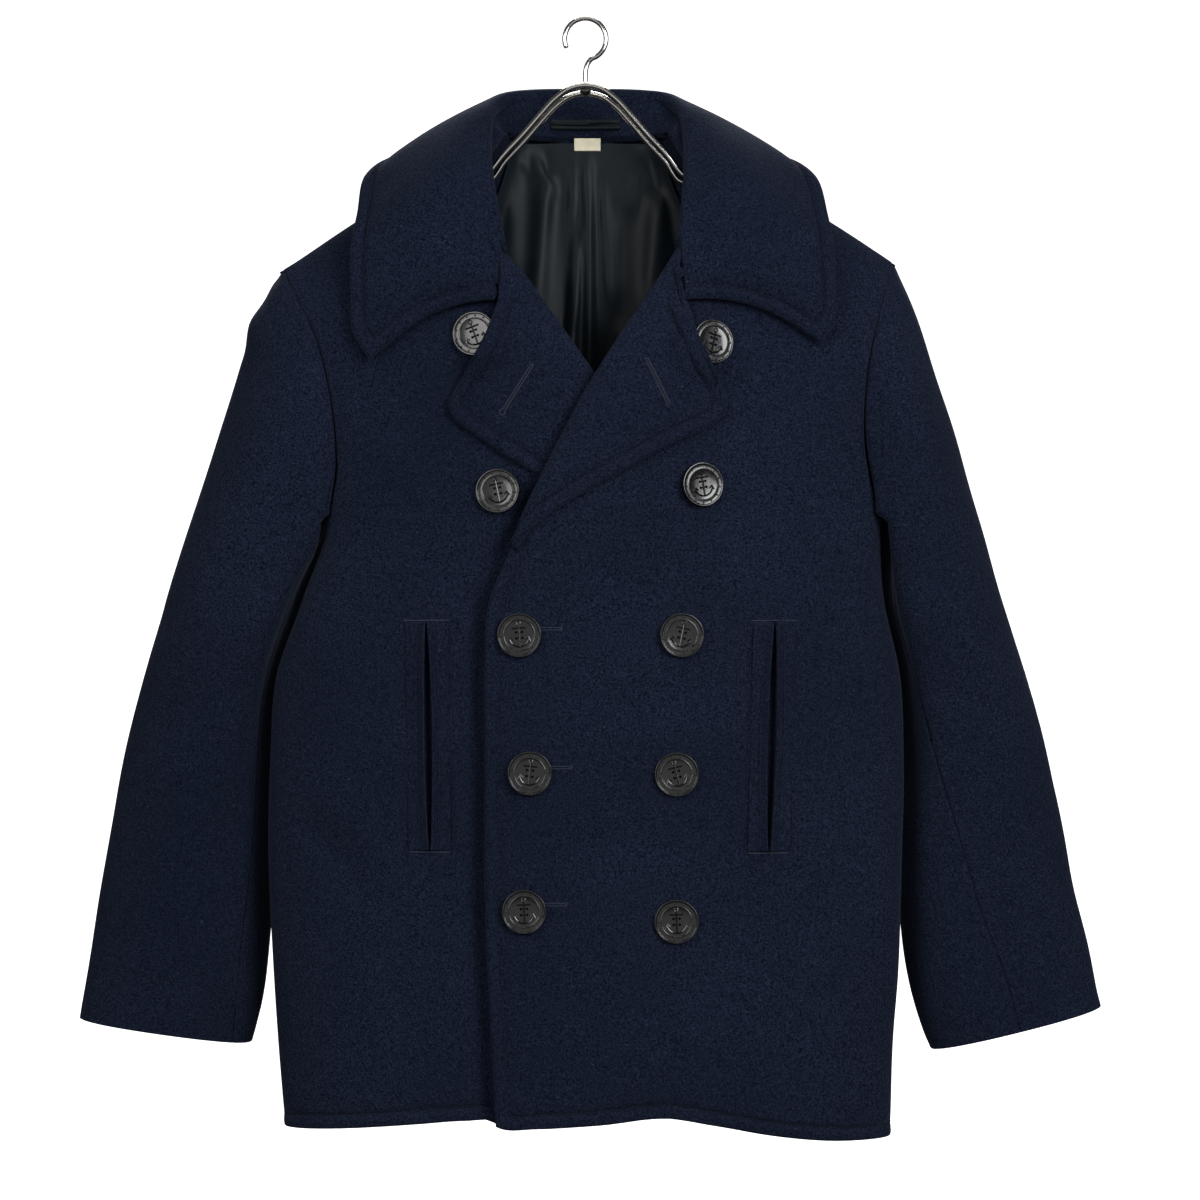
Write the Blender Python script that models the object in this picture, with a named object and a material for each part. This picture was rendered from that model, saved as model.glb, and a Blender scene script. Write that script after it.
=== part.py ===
# A double-breasted wool pea coat on a wire hanger, every cut piece a wall of cloth of its own.
# X runs to the viewer's right, Y away from the viewer and Z up. The origin is where a rail meets
# the inside of the hook. Left and right are the viewer's, looking at the front.
# Tables are in millimetres, and finish() turns points into Blender's units.

import math

import bpy
import numpy as np
from mathutils import Vector
from mathutils.bvhtree import BVHTree

# ---------------------------------------------------------------- driving dimensions, millimetres
seamGap = 0.3  # between two pieces that are sewn together
woolWall = 3.0  # melton with its interlining
seamWall = 1.2  # the pressed edge of a sleeve piece at its long seams
doubleWall = 5.0  # two layers: front edges, hem and lapels
collarWall = 4.2
liningWall = 1.8
sideForward = 8.0  # the side seams hang this far in front of the shoulder line
sectionPower = 2.5  # how square the body is in plan: 2 is an ellipse
shoulderDrop = 105.0  # the body reaches its full depth this far under the shoulder line
frontEdgeTurn = 95.0  # width of the facing behind each front edge
hemTurn = 40.0
buttonWidth = 35.0
buttonThick = 5.0
buttonGap = 0.4  # between the cloth and the lowest part of a button
buttonBump = 9.5  # a lapel stands this much further out where it covers a button
wireWidth = 4.8
hookWire = 4.0
hookInside = 15.0  # radius of the hook, for a rail of 25 to 28 mm

# half width to each side, depth to the front and depth to the back
# columns: height, left, right, front, back
bodySections = (
    (-905, 245, 249, 70, 60),
    (-841, 250, 251, 68, 58),
    (-768, 255, 256, 66, 57),
    (-664, 259, 259, 64, 55),
    (-600, 257, 260, 63, 54),
    (-536, 252, 257, 62, 53),
    (-475, 231, 244, 62, 52),
    (-410, 212, 241, 62, 51),
    (-372, 218, 243, 61, 50),
    (-338, 227, 247, 60, 50),
    (-292, 240, 256, 57, 48),
    (-245, 258, 268, 54, 46),
    (-200, 276, 281, 50, 44),
    (-50, 292, 296, 46, 42),
)

# the shoulder line seen from the front, with the neck hole rising out of its middle
# columns: across, height
shoulderRidge = (
    (-340, -268), (-248, -204), (-191, -166), (-130, -130), (-76, -98), (-58, -46), (-34, -4),
    (0, 12), (34, -4), (60, -46), (78, -96), (130, -127), (200, -164), (252, -198), (340, -261),
)

# how far the overlap stands in front of the piece under it
# columns: height, lift
overlapLift = (
    (-910, 7.0), (-520, 7.0), (-480, 7.4), (-440, 10.5), (-400, 12.0), (-340, 13.2), (-297, 12.4),
    (-262, 8.0), (-230, 3.2), (-195, 0.8), (-150, 0),
)
liftFull, liftNone = 70.0, 124.0  # the lift fades out between these places across the front

# edges of the panels: rise is 0 at the hem, 0.6 at the underarm and 1 at the shoulder seam
# columns: rise, across, height
underlapEdge = (
    (0.00, 62, -886), (0.20, 63, -745), (0.40, 63, -600), (0.54, 62, -480), (0.585, 55, -438),
    (0.62, 49, -405), (0.70, 24, -345), (0.76, 1, -296), (0.82, -23, -260), (0.88, -51, -218),
    (0.92, -74, -192), (0.95, -86, -165), (0.975, -87, -130), (1.00, -76, -98),
)
overlapEdge = (
    (0.00, -71, -895), (0.10, -76, -804), (0.22, -80, -713), (0.36, -80, -594), (0.46, -80, -520),
    (0.52, -76, -475), (0.56, -62, -441), (0.60, -48, -415), (0.66, -19, -360), (0.72, 8, -308),
    (0.78, 36, -264), (0.84, 66, -219), (0.88, 83, -192), (0.92, 92, -165), (0.96, 91, -130),
    (1.00, 78, -96),
)
armholeLeftFront = (
    (0.60, -212, -410), (0.64, -205, -391), (0.68, -201, -372), (0.72, -201, -354),
    (0.78, -203, -328), (0.84, -208, -298), (0.89, -215, -270), (0.94, -227, -243),
    (1.00, -248, -204),
)
armholeRightFront = (
    (0.60, 241, -410), (0.65, 232, -380), (0.72, 226, -345), (0.80, 227, -300), (0.87, 233, -263),
    (0.94, 242, -230), (1.00, 252, -198),
)
armholeLeftBack = (
    (0.60, -212, -410), (0.66, -206, -380), (0.74, -205, -340), (0.84, -212, -288),
    (0.93, -228, -242), (1.00, -248, -204),
)
armholeRightBack = (
    (0.60, 241, -410), (0.66, 233, -378), (0.74, 229, -338), (0.84, 232, -285), (0.93, 241, -240),
    (1.00, 252, -198),
)
# columns: across, height
hemLine = (
    (-245, -903), (-189, -899), (-132, -894), (-98, -891), (-79, -891), (-66, -896), (-40, -896),
    (12, -893), (70, -888), (101, -894), (146, -903), (192, -909), (249, -911),
)
neckSeamHeight = -92.0  # the collar seam at the back of the neck

# fold line and free edge of each turned lapel; swell is how much of its full roll it has there
# columns: fold across, fold height, edge across, edge height, swell
lapelUnderlap = (
    (-67.9, -193, -69.4, -238, 1), (-60, -201, -74, -256, 1), (-52, -210, -85, -278, 1),
    (-44, -220, -102, -303, 1), (-36, -232, -109, -317, 1), (-27, -245, -105, -330, 1),
    (-18, -258, -86, -344, 1), (-9, -271, -64, -359, 1), (0, -284, -48, -369, 0.8),
    (9, -297, -30, -380, 0.5), (23, -326, -4, -398, 0.4), (36, -355, 18, -415, 0.4),
    (48, -385, 38, -430, 0.4), (56, -410, 51, -439, 0.4), (60, -428, 60, -445, 0.4),
)
lapelOverlap = (
    (75.6, -190, 75.7, -237, 1), (70.5, -199, 82, -254, 1), (66, -207, 92, -281, 1),
    (57, -221, 106, -301, 1), (47, -236, 112, -315, 1), (36, -252, 110, -327, 1),
    (26, -267, 95, -338, 1), (12, -289, 71, -350, 1), (-2, -312, 42, -366, 1),
    (-15, -337, 12, -382, 1), (-28, -363, -12, -397, 0.95), (-40, -387, -31, -409, 0.8),
    (-51, -409, -45, -422, 0.65), (-60, -428, -53, -437, 0.5),
)
# the roll of a lapel across its width: reach in mm from the fold, then as a share of the width
# columns: reach, share of width, height over the panel
lapelRoll = (
    (17, 0.00, -6.1), (9, 0.00, -6.2), (2.5, 0.00, -5.2), (-0.6, 0.00, -0.6), (-0.2, 0.00, 3.6),
    (3.4, 0.02, 7.0), (6.5, 0.08, 8.7), (6.0, 0.20, 9.3), (4.0, 0.40, 8.7), (2.0, 0.62, 7.4),
    (1.0, 0.82, 6.3), (0, 1.00, 5.7),
)

# stations round the collar, from its front end to the centre of the back
# columns: foot x, foot y, foot z, fold x, fold y, fold z, middle x, middle y, middle z, edge x,
# edge y, edge z, crown
collarLeft = (
    (-71, -47, -190, -69.5, -53, -189, -71.5, -62, -235, -173, -56, -282, 0),
    (-75, -43, -168, -74, -50, -166, -108, -66, -208, -187, -54, -259, 2),
    (-78, -34, -147, -78, -44, -144, -119, -62, -174, -189, -52, -228, 4),
    (-80, -22, -124, -81, -30, -120, -124, -50, -144, -189, -47, -192, 6),
    (-75.5, -10, -101, -82, -14, -98, -124, -28, -118, -185, -33, -162, 7),
    (-71.5, -2, -88.5, -81, 2, -79, -122, -2, -96, -181, -10, -130, 7),
    (-68.5, 10, -91, -76, 18, -67, -110, 18, -84, -162, 16, -117, 6),
    (-56, 22, -89.5, -63, 33, -59, -84, 40, -76, -122, 40, -126, 4),
    (-33, 33, -90.5, -37, 43, -55, -46, 52, -83, -64, 54, -135, 2),
    (0, 37, -90.5, 0, 47, -54, 0, 56, -84, 0, 59, -138, 1),
)
collarRight = (
    (80.4, -46, -187, 79.9, -53, -186, 79.0, -62, -235, 189, -54, -268, 0),
    (82, -42, -167, 82, -50, -164, 118, -65, -203, 201, -53, -252, 2),
    (83, -33, -147, 84, -43, -143, 127, -61, -172, 202, -51, -230, 4),
    (83, -22, -124, 85, -30, -120, 131, -50, -143, 201, -46, -194, 6),
    (76, -10, -100.5, 85, -14, -98, 130, -28, -117, 197, -33, -164, 7),
    (71.5, -1.5, -89.5, 83, 2, -79, 125, -2, -96, 189, -10, -130, 7),
    (69.5, 10, -91, 77, 18, -67, 111, 18, -83, 165, 16, -116.5, 6),
    (57, 22, -89.5, 65, 33, -59, 86, 40, -76, 124, 40, -126, 4),
    (33, 33, -90.5, 38, 43, -55, 46, 52, -83, 65, 54, -135, 2),
    (0, 37, -90.5, 0, 47, -54, 0, 56, -84, 0, 59, -138, 1),
)

foldRadius = 6.0
endBow = 12.0  # how far the front ends of the collar curve up between notch and point
footShare, foldShare, middleShare = 0.2, 0.34, 0.64  # where foot, fold and middle lie across it

# rings of each sleeve below the underarm: centre, half width, half depth, tilt, place of the seam
# columns: along, across, back, height, half width, half depth, tilt, seam
sleeveLeft = (
    (0.42, -289, 17, -492, 59, 55, 17, 28), (0.55, -309, 21, -570, 61, 50, 15, 26),
    (0.68, -320, 24, -652, 68, 44, 12, 30), (0.80, -329, 24, -726, 73, 40, 10, 42),
    (0.90, -336, 22, -784, 74.5, 36, 9, 46), (1.00, -346, 20, -830, 72.5, 33, 8, 37),
)
sleeveRight = (
    (0.42, 291, 17, -488, 54, 57, 17, 26), (0.55, 309, 21, -565, 60, 50, 15, 52),
    (0.68, 319, 24, -647, 69, 44, 13, 74), (0.80, 329, 24, -719, 74, 40, 12, 84),
    (0.90, 340, 22, -776, 77, 36, 13, 90), (1.00, 355, 20, -828, 73, 33, 14, 90),
)
sleeveSquare = 2.25
sleeveClear = 2.2  # a sleeve lies this near to the body's side
contactSoft = 7.0  # how sharply a sleeve turns where it leaves the body's side
frontSeam, backSeam = 36.0, 306.0  # where the sleeve seams meet the armhole, in degrees round it

# largest soft folds: from one end to the other on the front view, half width, depth
# columns: x1, z1, x2, z2, half width, depth
frontFolds = (
    (-238, -642, -176, -712, 26, 5.0), (-214, -700, -150, -800, 34, 3.0),
    (215, -560, 236, -700, 28, 3.0), (-40, -560, 110, -556, 24, 1.6),
    (-36, -668, 100, -672, 24, 1.6),
)
backFolds = (
    (-150, -300, -110, -620, 40, 4.0), (150, -310, 120, -640, 40, 4.0),
    (-220, -480, -120, -560, 26, 4.0), (222, -490, 130, -575, 26, 4.0),
)

# buttons: centre on the front view, turn in the plane of the cloth, tilt sideways and forward
# columns: name, across, height, turn, tilt
buttons = (
    ("button_left_1", -87.5, -262, 20, 9), ("button_left_2", -69, -388, 12, 6),
    ("button_left_3", -52, -503, 4, 2), ("button_left_4", -44, -613, -6, -2),
    ("button_left_5", -48, -723, 3, 3), ("button_right_1", 100, -269, -14, -8),
    ("button_right_2", 92, -383, 10, -1), ("button_right_3", 77, -503, -12, 2),
    ("button_right_4", 73, -614, 14, 2), ("button_right_5", 73, -731, 2, 5),
)

# welts: the slit's top and bottom on the front view
# columns: side, top across, top height, bottom across, bottom height
pockets = (("left", -127, -493, -124, -675), ("right", 152, -493, 147, -676))
slitOpen = 4.0
weltWidth = 15.0
weltThick = 2.2

# folds of the lining: middle of each at the top, half width, depth
# columns: across, half width, depth
liningFolds = ((-62, 13, 5.0), (-36, 9, 3.5), (-10, 5, 4.5), (3, 4, 6.5), (28, 12, 4.0), (58, 13, 5.5))
liningHem = -868.0
loopHeight = -79.5

# the front wire of the hanger over the neck, to the right of its middle
# columns: across, height
hangerArch = ((0, -55), (14, -58), (25, -66), (37, -79), (50, -94), (66, -111), (80, -128))
hangerReach = 222.0  # from the middle to the end of each arm
wireApart = 24.0  # between the two wires, front to back
wireClear = 1.35  # between a wire and the cloth that hangs on it


# ---------------------------------------------------------------- helpers
def column(table, place):
    return np.array([row[place] for row in table], float)


def curve(knots, values, at):
    """Smooth curve through the rows of a table, read at one place or many."""
    knots, values, at = np.asarray(knots, float), np.asarray(values, float), np.asarray(at, float)
    steps = np.diff(knots)
    slopes = (np.diff(values, axis=0).T / steps).T
    tangents = np.empty_like(values)
    tangents[0], tangents[-1] = slopes[0], slopes[-1]
    weight = (steps[1:] / (steps[1:] + steps[:-1])).reshape((-1,) + (1,) * (values.ndim - 1))
    tangents[1:-1] = slopes[:-1] * weight + slopes[1:] * (1 - weight)
    i = np.clip(np.searchsorted(knots, at, side="right") - 1, 0, len(steps) - 1)
    span = steps[i]
    t = np.clip((at - knots[i]) / span, 0, 1)
    if values.ndim > 1:
        span, t = span[..., None], t[..., None]
    start = (2 * t ** 3 - 3 * t ** 2 + 1) * values[i] + (t ** 3 - 2 * t ** 2 + t) * span * tangents[i]
    end = (3 * t ** 2 - 2 * t ** 3) * values[i + 1] + (t ** 3 - t ** 2) * span * tangents[i + 1]
    return start + end


def hermite(s, start, end, leave, arrive):
    """Point at share s of a curve from start to end with these directions at its ends."""
    return ((2 * s ** 3 - 3 * s ** 2 + 1) * start + (s ** 3 - 2 * s ** 2 + s) * leave
            + (3 * s ** 2 - 2 * s ** 3) * end + (s ** 3 - s ** 2) * arrive)


def smooth(low, high, value):
    t = np.clip((np.asarray(value, float) - low) / (high - low), 0, 1)
    return t * t * (3 - 2 * t)


def unit(vectors):
    return vectors / np.linalg.norm(vectors, axis=-1, keepdims=True)


def gridNormals(points, closed=False):
    """Unit normals of a grid of points, rows first; closed joins the last column to the first."""
    rows = np.gradient(points, axis=0)
    if closed:
        columns = np.roll(points, -1, axis=1) - np.roll(points, 1, axis=1)
    else:
        columns = np.gradient(points, axis=1)
    return unit(np.cross(columns, rows))


# ---------------------------------------------------------------- the form of the body
def bodySection(height):
    table = np.array([row[1:] for row in bodySections], float)
    return curve(column(bodySections, 0), table, np.asarray(height, float))


def ridgeHeight(across):
    return curve(column(shoulderRidge, 0), column(shoulderRidge, 1), across)


def shoulderShare(across, height):
    """How much of the body's depth is left this far under the shoulder line."""
    t = np.clip((ridgeHeight(across) - height) / shoulderDrop, 0, 1)
    return (1 - (1 - t) ** 2.2) ** 0.75


def girthAt(across, height):
    """Place round the section: 0 at the centre front, 1 at the side seam, signed left to right."""
    section = bodySection(height)
    half = np.where(np.asarray(across) < 0, section[..., 0], section[..., 1])
    share = np.clip(np.abs(across) / half, 0, 1)
    return np.sign(across) * np.arcsin(share ** (sectionPower / 2)) / (math.pi / 2)


def foldDepth(folds, across, height):
    depth = np.zeros(np.broadcast(across, height).shape)
    for x1, z1, x2, z2, halfWidth, fold in folds:
        run = np.array([x2 - x1, z2 - z1], float)
        t = np.clip(((across - x1) * run[0] + (height - z1) * run[1]) / run.dot(run), 0, 1)
        away = np.hypot(across - x1 - t * run[0], height - z1 - t * run[1]) / halfWidth
        depth += fold * np.exp(-away ** 2 * 2) * (1 - 0.5 * np.abs(2 * t - 1))
    return depth


def liftOf(across, height):
    lift = curve(column(overlapLift, 0), column(overlapLift, 1), height)
    return lift * (1 - smooth(liftFull, liftNone, across))


def bodyPoint(girth, height, overlap=False):
    """Outer surface of the cloth. girth runs on from 1 at the side to 2 at the centre back."""
    girth, height = np.broadcast_arrays(np.asarray(girth, float), np.asarray(height, float))
    section = bodySection(height)
    half = np.where(girth < 0, section[..., 0], section[..., 1])
    angle = np.clip(np.abs(girth), 0, 2) * math.pi / 2
    sine, cosine = np.abs(np.sin(angle)), np.abs(np.cos(angle))
    across = np.sign(girth) * half * sine ** (2 / sectionPower)
    inward = cosine ** (2 / sectionPower)
    front = -sideForward - (section[..., 2] - sideForward) * inward
    back = -sideForward + (section[..., 3] + sideForward) * inward
    isFront = np.abs(girth) <= 1
    depth = np.where(isFront, front, back) * shoulderShare(across, height)
    depth += np.where(isFront, foldDepth(frontFolds, across, height),
                      -foldDepth(backFolds, across, height)) * inward
    if overlap:
        depth = depth - liftOf(across, height)
    return np.stack([across, depth, height], axis=-1)


def bodyNormal(girth, height, overlap=False):
    step, rise = 0.004, 1.0
    low, high = np.minimum(np.abs(girth) + step, 2), np.maximum(np.abs(girth) - step, 0)
    sign = np.where(np.asarray(girth) < 0, -1.0, 1.0)
    round_ = bodyPoint(sign * low, height, overlap) - bodyPoint(sign * high, height, overlap)
    up = bodyPoint(girth, height + rise, overlap) - bodyPoint(girth, height - rise, overlap)
    return unit(np.cross(round_, up)) * sign[..., None]


def frontSurface(across, height, overlap=False):
    """Depth of the front at a place on the front view."""
    return bodyPoint(girthAt(across, height), height, overlap)[..., 1]


def backSurface(across, height):
    girth = girthAt(across, height)
    return bodyPoint(np.where(girth < 0, -2 - girth, 2 - girth), height)[..., 1]


# ---------------------------------------------------------------- panels of the body
def sideEdge(side, armhole, rise):
    """Outer edge of a panel: up the side seam, then round the armhole; girth and height."""
    hemEnd = curve(column(hemLine, 0), column(hemLine, 1), 250.0 * side)
    height = np.where(rise < 0.6, hemEnd + (armhole[0][2] - hemEnd) * rise / 0.6,
                      curve(column(armhole, 0), column(armhole, 2), rise))
    across = curve(column(armhole, 0), column(armhole, 1), rise)
    girth = np.where(rise < 0.6, side, girthAt(across, height))
    return girth, height


def panelGrid(inner, outer, rises, shares, topHeight, bottomHeight):
    """Girth and height over a panel. Rows run from the inner edge to the outer one."""
    rise, share = np.meshgrid(rises, shares, indexing="ij")
    innerGirth, innerHeight = (value[:, None] for value in inner)
    outerGirth, outerHeight = (value[:, None] for value in outer)
    girth = innerGirth + (outerGirth - innerGirth) * share
    height = innerHeight + (outerHeight - innerHeight) * share
    across = bodyPoint(girth, height)[..., 0]
    top = topHeight(across[-1]) - height[-1]
    bottom = bottomHeight(across[0]) - height[0]
    return girth, height + top * rise ** 6 + bottom * (1 - rise) ** 4, share, rise


def frontPanel(edge, side, armhole, rises, shares, overlap):
    """Outer points, normals and wall of one front, from its front edge to its side."""
    innerHeight = curve(column(edge, 0), column(edge, 2), rises)
    innerAcross = curve(column(edge, 0), column(edge, 1), rises)
    inner = girthAt(innerAcross, innerHeight), innerHeight
    hem = lambda across: curve(column(hemLine, 0), column(hemLine, 1), across)
    outer = sideEdge(side, armhole, rises)
    girth, height, share, rise = panelGrid(inner, outer, rises, shares, ridgeHeight, hem)
    points, normals = bodyPoint(girth, height, overlap), bodyNormal(girth, height, overlap)
    normals[-1, :, 1] = 0
    normals = unit(normals)
    points[-1, :, 1] = -seamGap / 2 - (liftOf(points[-1, :, 0], height[-1]) if overlap else 0)
    points[:, -1, 1] -= np.where(rises <= 0.6, seamGap / 2, 0)
    turned = np.abs(points[..., 0] - points[:, :1, 0])
    double = np.maximum(1 - smooth(frontEdgeTurn * 0.8, frontEdgeTurn, turned) * 1.0,
                        1 - smooth(hemTurn * 0.6, hemTurn, height - height[0]))
    double = double * (1 - smooth(0.50, 0.58, rise))
    return points, normals, woolWall + (doubleWall - woolWall) * double


def backPanel(side, armhole, rises, shares):
    innerHeight = curve((0, 0.6, 1), (-901, -410, neckSeamHeight), rises)
    inner = np.full(len(rises), 2.0 * side), innerHeight
    outerGirth, outerHeight = sideEdge(side, armhole, rises)
    outer = np.where(rises < 0.6, outerGirth, 2 * side - outerGirth), outerHeight
    top = lambda across: np.minimum(ridgeHeight(across), neckSeamHeight)
    hemEnd = outerHeight[0]
    hem = lambda across: -901 + (hemEnd + 901) * smooth(60, 230, np.abs(across))
    girth, height, share, rise = panelGrid(inner, outer, rises, shares, top, hem)
    points, normals = bodyPoint(girth, height), bodyNormal(girth, height)
    onRidge = np.abs(points[-1, :, 0]) > 74
    normals[-1, onRidge, 1] = 0
    normals[:, 0, 0] = 0
    normals = unit(normals)
    points[-1, onRidge, 1] = seamGap / 2
    points[:, -1, 1] += np.where(rises <= 0.6, seamGap / 2, 0)
    points[:, 0, 0] = side * seamGap / 2
    double = 1 - smooth(hemTurn * 0.6, hemTurn, height - height[0])
    return points, normals, woolWall + (doubleWall - woolWall) * double


# ---------------------------------------------------------------- lapels and collar
def overButtons(x, z, over):
    """The rise of a lapel over the top button that it half covers."""
    rise = np.zeros(np.broadcast(x, z).shape)
    for _, across, height, _, _ in (buttons[0], buttons[5]):
        away = np.hypot(x - across, z - height)
        rise += buttonBump * (1 - smooth(buttonWidth * 0.52, buttonWidth * 1.15, away))
    return np.where(over > 3, rise, 0)


def lapelGrid(table, side, along, across, overlap):
    """Outer points of a turned lapel. across runs through the rows of lapelRoll."""
    rows = curve(np.arange(len(table)), np.array(table, float), along)
    roll = curve(np.arange(len(lapelRoll)), np.array(lapelRoll, float), across)
    foldX, foldZ, edgeX, edgeZ, swell = (rows[:, None, i] for i in range(5))
    reach, share, over = (roll[None, :, i] for i in range(3))
    width = np.hypot(edgeX - foldX, edgeZ - foldZ)
    fit = np.clip(width / 30, 0.1, 1)
    run = (curve(np.arange(len(table)), np.array(table, float), along + 0.05)
           - curve(np.arange(len(table)), np.array(table, float), along - 0.05))
    run = unit(run[:, :2])
    gorge = (1 - smooth(0, 2, along))[:, None]
    outX = -run[:, 1:2] * side * (1 - gorge) + (edgeX - foldX) / width * gorge
    outZ = run[:, :1] * side * (1 - gorge) + (edgeZ - foldZ) / width * gorge
    x = foldX + outX * reach * fit + (edgeX - foldX) * share
    z = foldZ + outZ * reach * fit + (edgeZ - foldZ) * share
    bump = overButtons(x, z, over)
    over = np.where(over < 0, over, over * swell)
    points = bodyPoint(girthAt(x, z), z, overlap)
    thick = np.clip(over - 1.6, 1.2, doubleWall)
    thin = smooth(2.5, 5.5, across)[None, :]
    thick = np.minimum(2.4, 0.9 + 1.5 * fit) * (1 - thin) + thick * thin
    points = points + bodyNormal(girthAt(x, z), z, overlap) * over[..., None]
    points[..., 1] -= bump
    return points, thick


def clearOfBody(points, clearance):
    """Moves points that would touch the body out in front of it, or out behind it."""
    x, y, z = points[..., 0], points[..., 1], points[..., 2]
    below = z < ridgeHeight(x) + 1
    front = np.where(x > 0, frontSurface(x, z, True), frontSurface(x, z)) - clearance
    back = backSurface(x, z) + clearance
    y = np.where(below & (y < 0), np.minimum(y, front), y)
    y = np.where(below & (y >= 0), np.maximum(y, back), y)
    return np.stack([x, y, z], axis=-1)


def collarGrid(stations, across):
    """Points of the collar: stations run from the left end to the right, across from foot to edge."""
    rows = np.array(collarLeft + collarRight[-2::-1], float)
    at = curve(np.arange(len(rows)), rows, stations)
    foot, fold, middle, edge = (at[:, i * 3:i * 3 + 3] for i in range(4))
    crown = at[:, 12:13]
    along = unit(np.gradient(fold, axis=0))
    leaf = unit(middle - fold)
    leaf = unit(leaf - (leaf * along).sum(axis=1, keepdims=True) * along)
    up = unit(np.cross(along, leaf))
    ends = np.minimum(stations, len(rows) - 1 - stations)
    straight = np.clip(ends, 0, 1)[:, None]
    stand, start = fold - up * foldRadius, fold + up * foldRadius
    first, last = middle - start, edge - middle
    mean = (first + last) / 2
    points = np.empty((len(stations), len(across), 3))
    for j, t in enumerate(across):
        if t < footShare:
            s = t / footShare
            points[:, j] = foot + (stand - foot) * s
        elif t < foldShare:
            turn = (t - footShare) / (foldShare - footShare) * math.pi
            points[:, j] = fold - foldRadius * (up * math.cos(turn) + leaf * math.sin(turn))
        else:
            if t < middleShare:
                s, a, b = (t - foldShare) / (middleShare - foldShare), start, middle
                leave, arrive = first, first + (mean - first) * straight
            else:
                s, a, b = (t - middleShare) / (1 - middleShare), middle, edge
                leave, arrive = last + (mean - last) * straight, last
            points[:, j] = hermite(s, a, b, leave, arrive)
            whole = (t - foldShare) / (1 - foldShare)
            points[:, j] += up * crown * math.sin(math.pi * whole)
            if t > middleShare:
                points[:, j, 2] += (endBow * (1 - straight) * math.sin(math.pi * s))[:, 0]
    onLeaf = np.asarray(across) > foldShare
    points[:, onLeaf] = clearOfBody(points[:, onLeaf], collarWall + 1.2)
    return points


# ---------------------------------------------------------------- sleeves
def armholeLoop(side, around):
    """The armhole seam, from the underarm up the front, over the shoulder and down the back."""
    front = armholeLeftFront if side < 0 else armholeRightFront
    back = armholeLeftBack if side < 0 else armholeRightBack
    around = np.asarray(around, float) % 360
    half = 1 - np.abs(around - 180) / 180
    rise = 0.6 + 0.4 * half
    inFront = around <= 180
    x, z = (np.where(inFront, curve(column(front, 0), column(front, i), rise),
                     curve(column(back, 0), column(back, i), rise)) for i in (1, 2))
    girth = np.where(half < 1e-6, side, girthAt(x, z))
    girth = np.where(inFront, girth, 2 * side - girth)
    points, out = bodyPoint(girth, z), bodyNormal(girth, z)
    onTop = half > 0.999
    points[onTop, 1] = 0
    out[onTop, 1] = 0
    return points, unit(out)


def sleeveRing(side, table, around, along):
    rows = curve(column(table, 0), np.array([row[1:] for row in table], float), along)
    tilt = np.radians(rows[..., 5])
    cosine, sine = np.cos(np.radians(around)), np.sin(np.radians(around))
    power = 2 / sleeveSquare
    width = np.sign(cosine) * np.abs(cosine) ** power * rows[..., 3]
    depth = -np.sign(sine) * np.abs(sine) ** power * rows[..., 4]
    x = rows[..., 0] - side * np.cos(tilt) * width
    z = rows[..., 2] - np.sin(tilt) * width
    down = np.stack([side * np.sin(tilt), 0 * tilt, -np.cos(tilt)], axis=-1)
    return np.stack([x, rows[..., 1] + depth, z], axis=-1), down


def besideBody(points, side):
    """A sleeve that would sink into the body's side lies against it instead."""
    x, y, z = points[..., 0], points[..., 1], points[..., 2]
    section = bodySection(z)
    half = section[..., 0 if side < 0 else 1] + sleeveClear
    depth = np.where(y < -sideForward, section[..., 2] - sideForward, section[..., 3] + sideForward)
    depth = depth + sleeveClear
    inside = (np.abs(x) / half) ** sectionPower + (np.abs(y + sideForward) / depth) ** sectionPower
    inside = np.maximum(inside, 0.05)
    scale = ((inside ** contactSoft + 1) ** (1 / contactSoft) / inside) ** (1 / sectionPower)
    scale = 1 + (scale - 1) * smooth(-404, -412, z)
    return np.stack([x * scale, -sideForward + (y + sideForward) * scale, z], axis=-1)


def sleevePoint(side, around, along):
    """Outer surface of a sleeve: around in degrees, along from the armhole seam to the cuff."""
    table = sleeveLeft if side < 0 else sleeveRight
    around, along = np.broadcast_arrays(np.asarray(around, float), np.asarray(along, float))
    capEnd = table[0][0]
    half = 1 - np.abs(around % 360 - 180) / 180
    start, out = armholeLoop(side, around)
    run = armholeLoop(side, around + 1)[0] - armholeLoop(side, around - 1)[0]
    intoBody = unit(np.cross(out, run)) * side
    start = start - intoBody * seamGap * 2
    start[..., 0] += side * 2.0 * np.clip(1 - half * 6, 0, 1)
    ring, down = sleeveRing(side, table, around, np.maximum(along, capEnd))
    inFront = np.where(around % 360 <= 180, -1, 1)
    leave = unit(np.stack([side * (0.38 + 0.10 * half), inFront * 0.3 * np.sin(math.pi * half),
                           -0.93 + 0.03 * half], axis=-1))
    reach = np.linalg.norm(ring - start, axis=-1)[..., None]
    s = np.clip(along / capEnd, 0, 1)[..., None]
    cap = hermite(s, start, ring, leave * reach * (0.45 + 0.3 * half[..., None]), down * reach)
    points = np.where((along < capEnd)[..., None], cap, ring)
    return besideBody(points, side), intoBody


def sleeveNormals(side, around, along, intoBody):
    step, reach = 1.0, 0.004
    round_ = sleevePoint(side, around + step, along)[0] - sleevePoint(side, around - step, along)[0]
    low, high = np.minimum(along + reach, 1), np.maximum(along - reach, 0)
    down = sleevePoint(side, around, low)[0] - sleevePoint(side, around, high)[0]
    normals = unit(np.cross(down, round_)) * side
    into = (normals * -intoBody).sum(axis=-1, keepdims=True)
    atSeam = (along < 1e-6)[..., None] & (into > 0)
    return unit(np.where(atSeam, normals + into * intoBody, normals))


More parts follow.
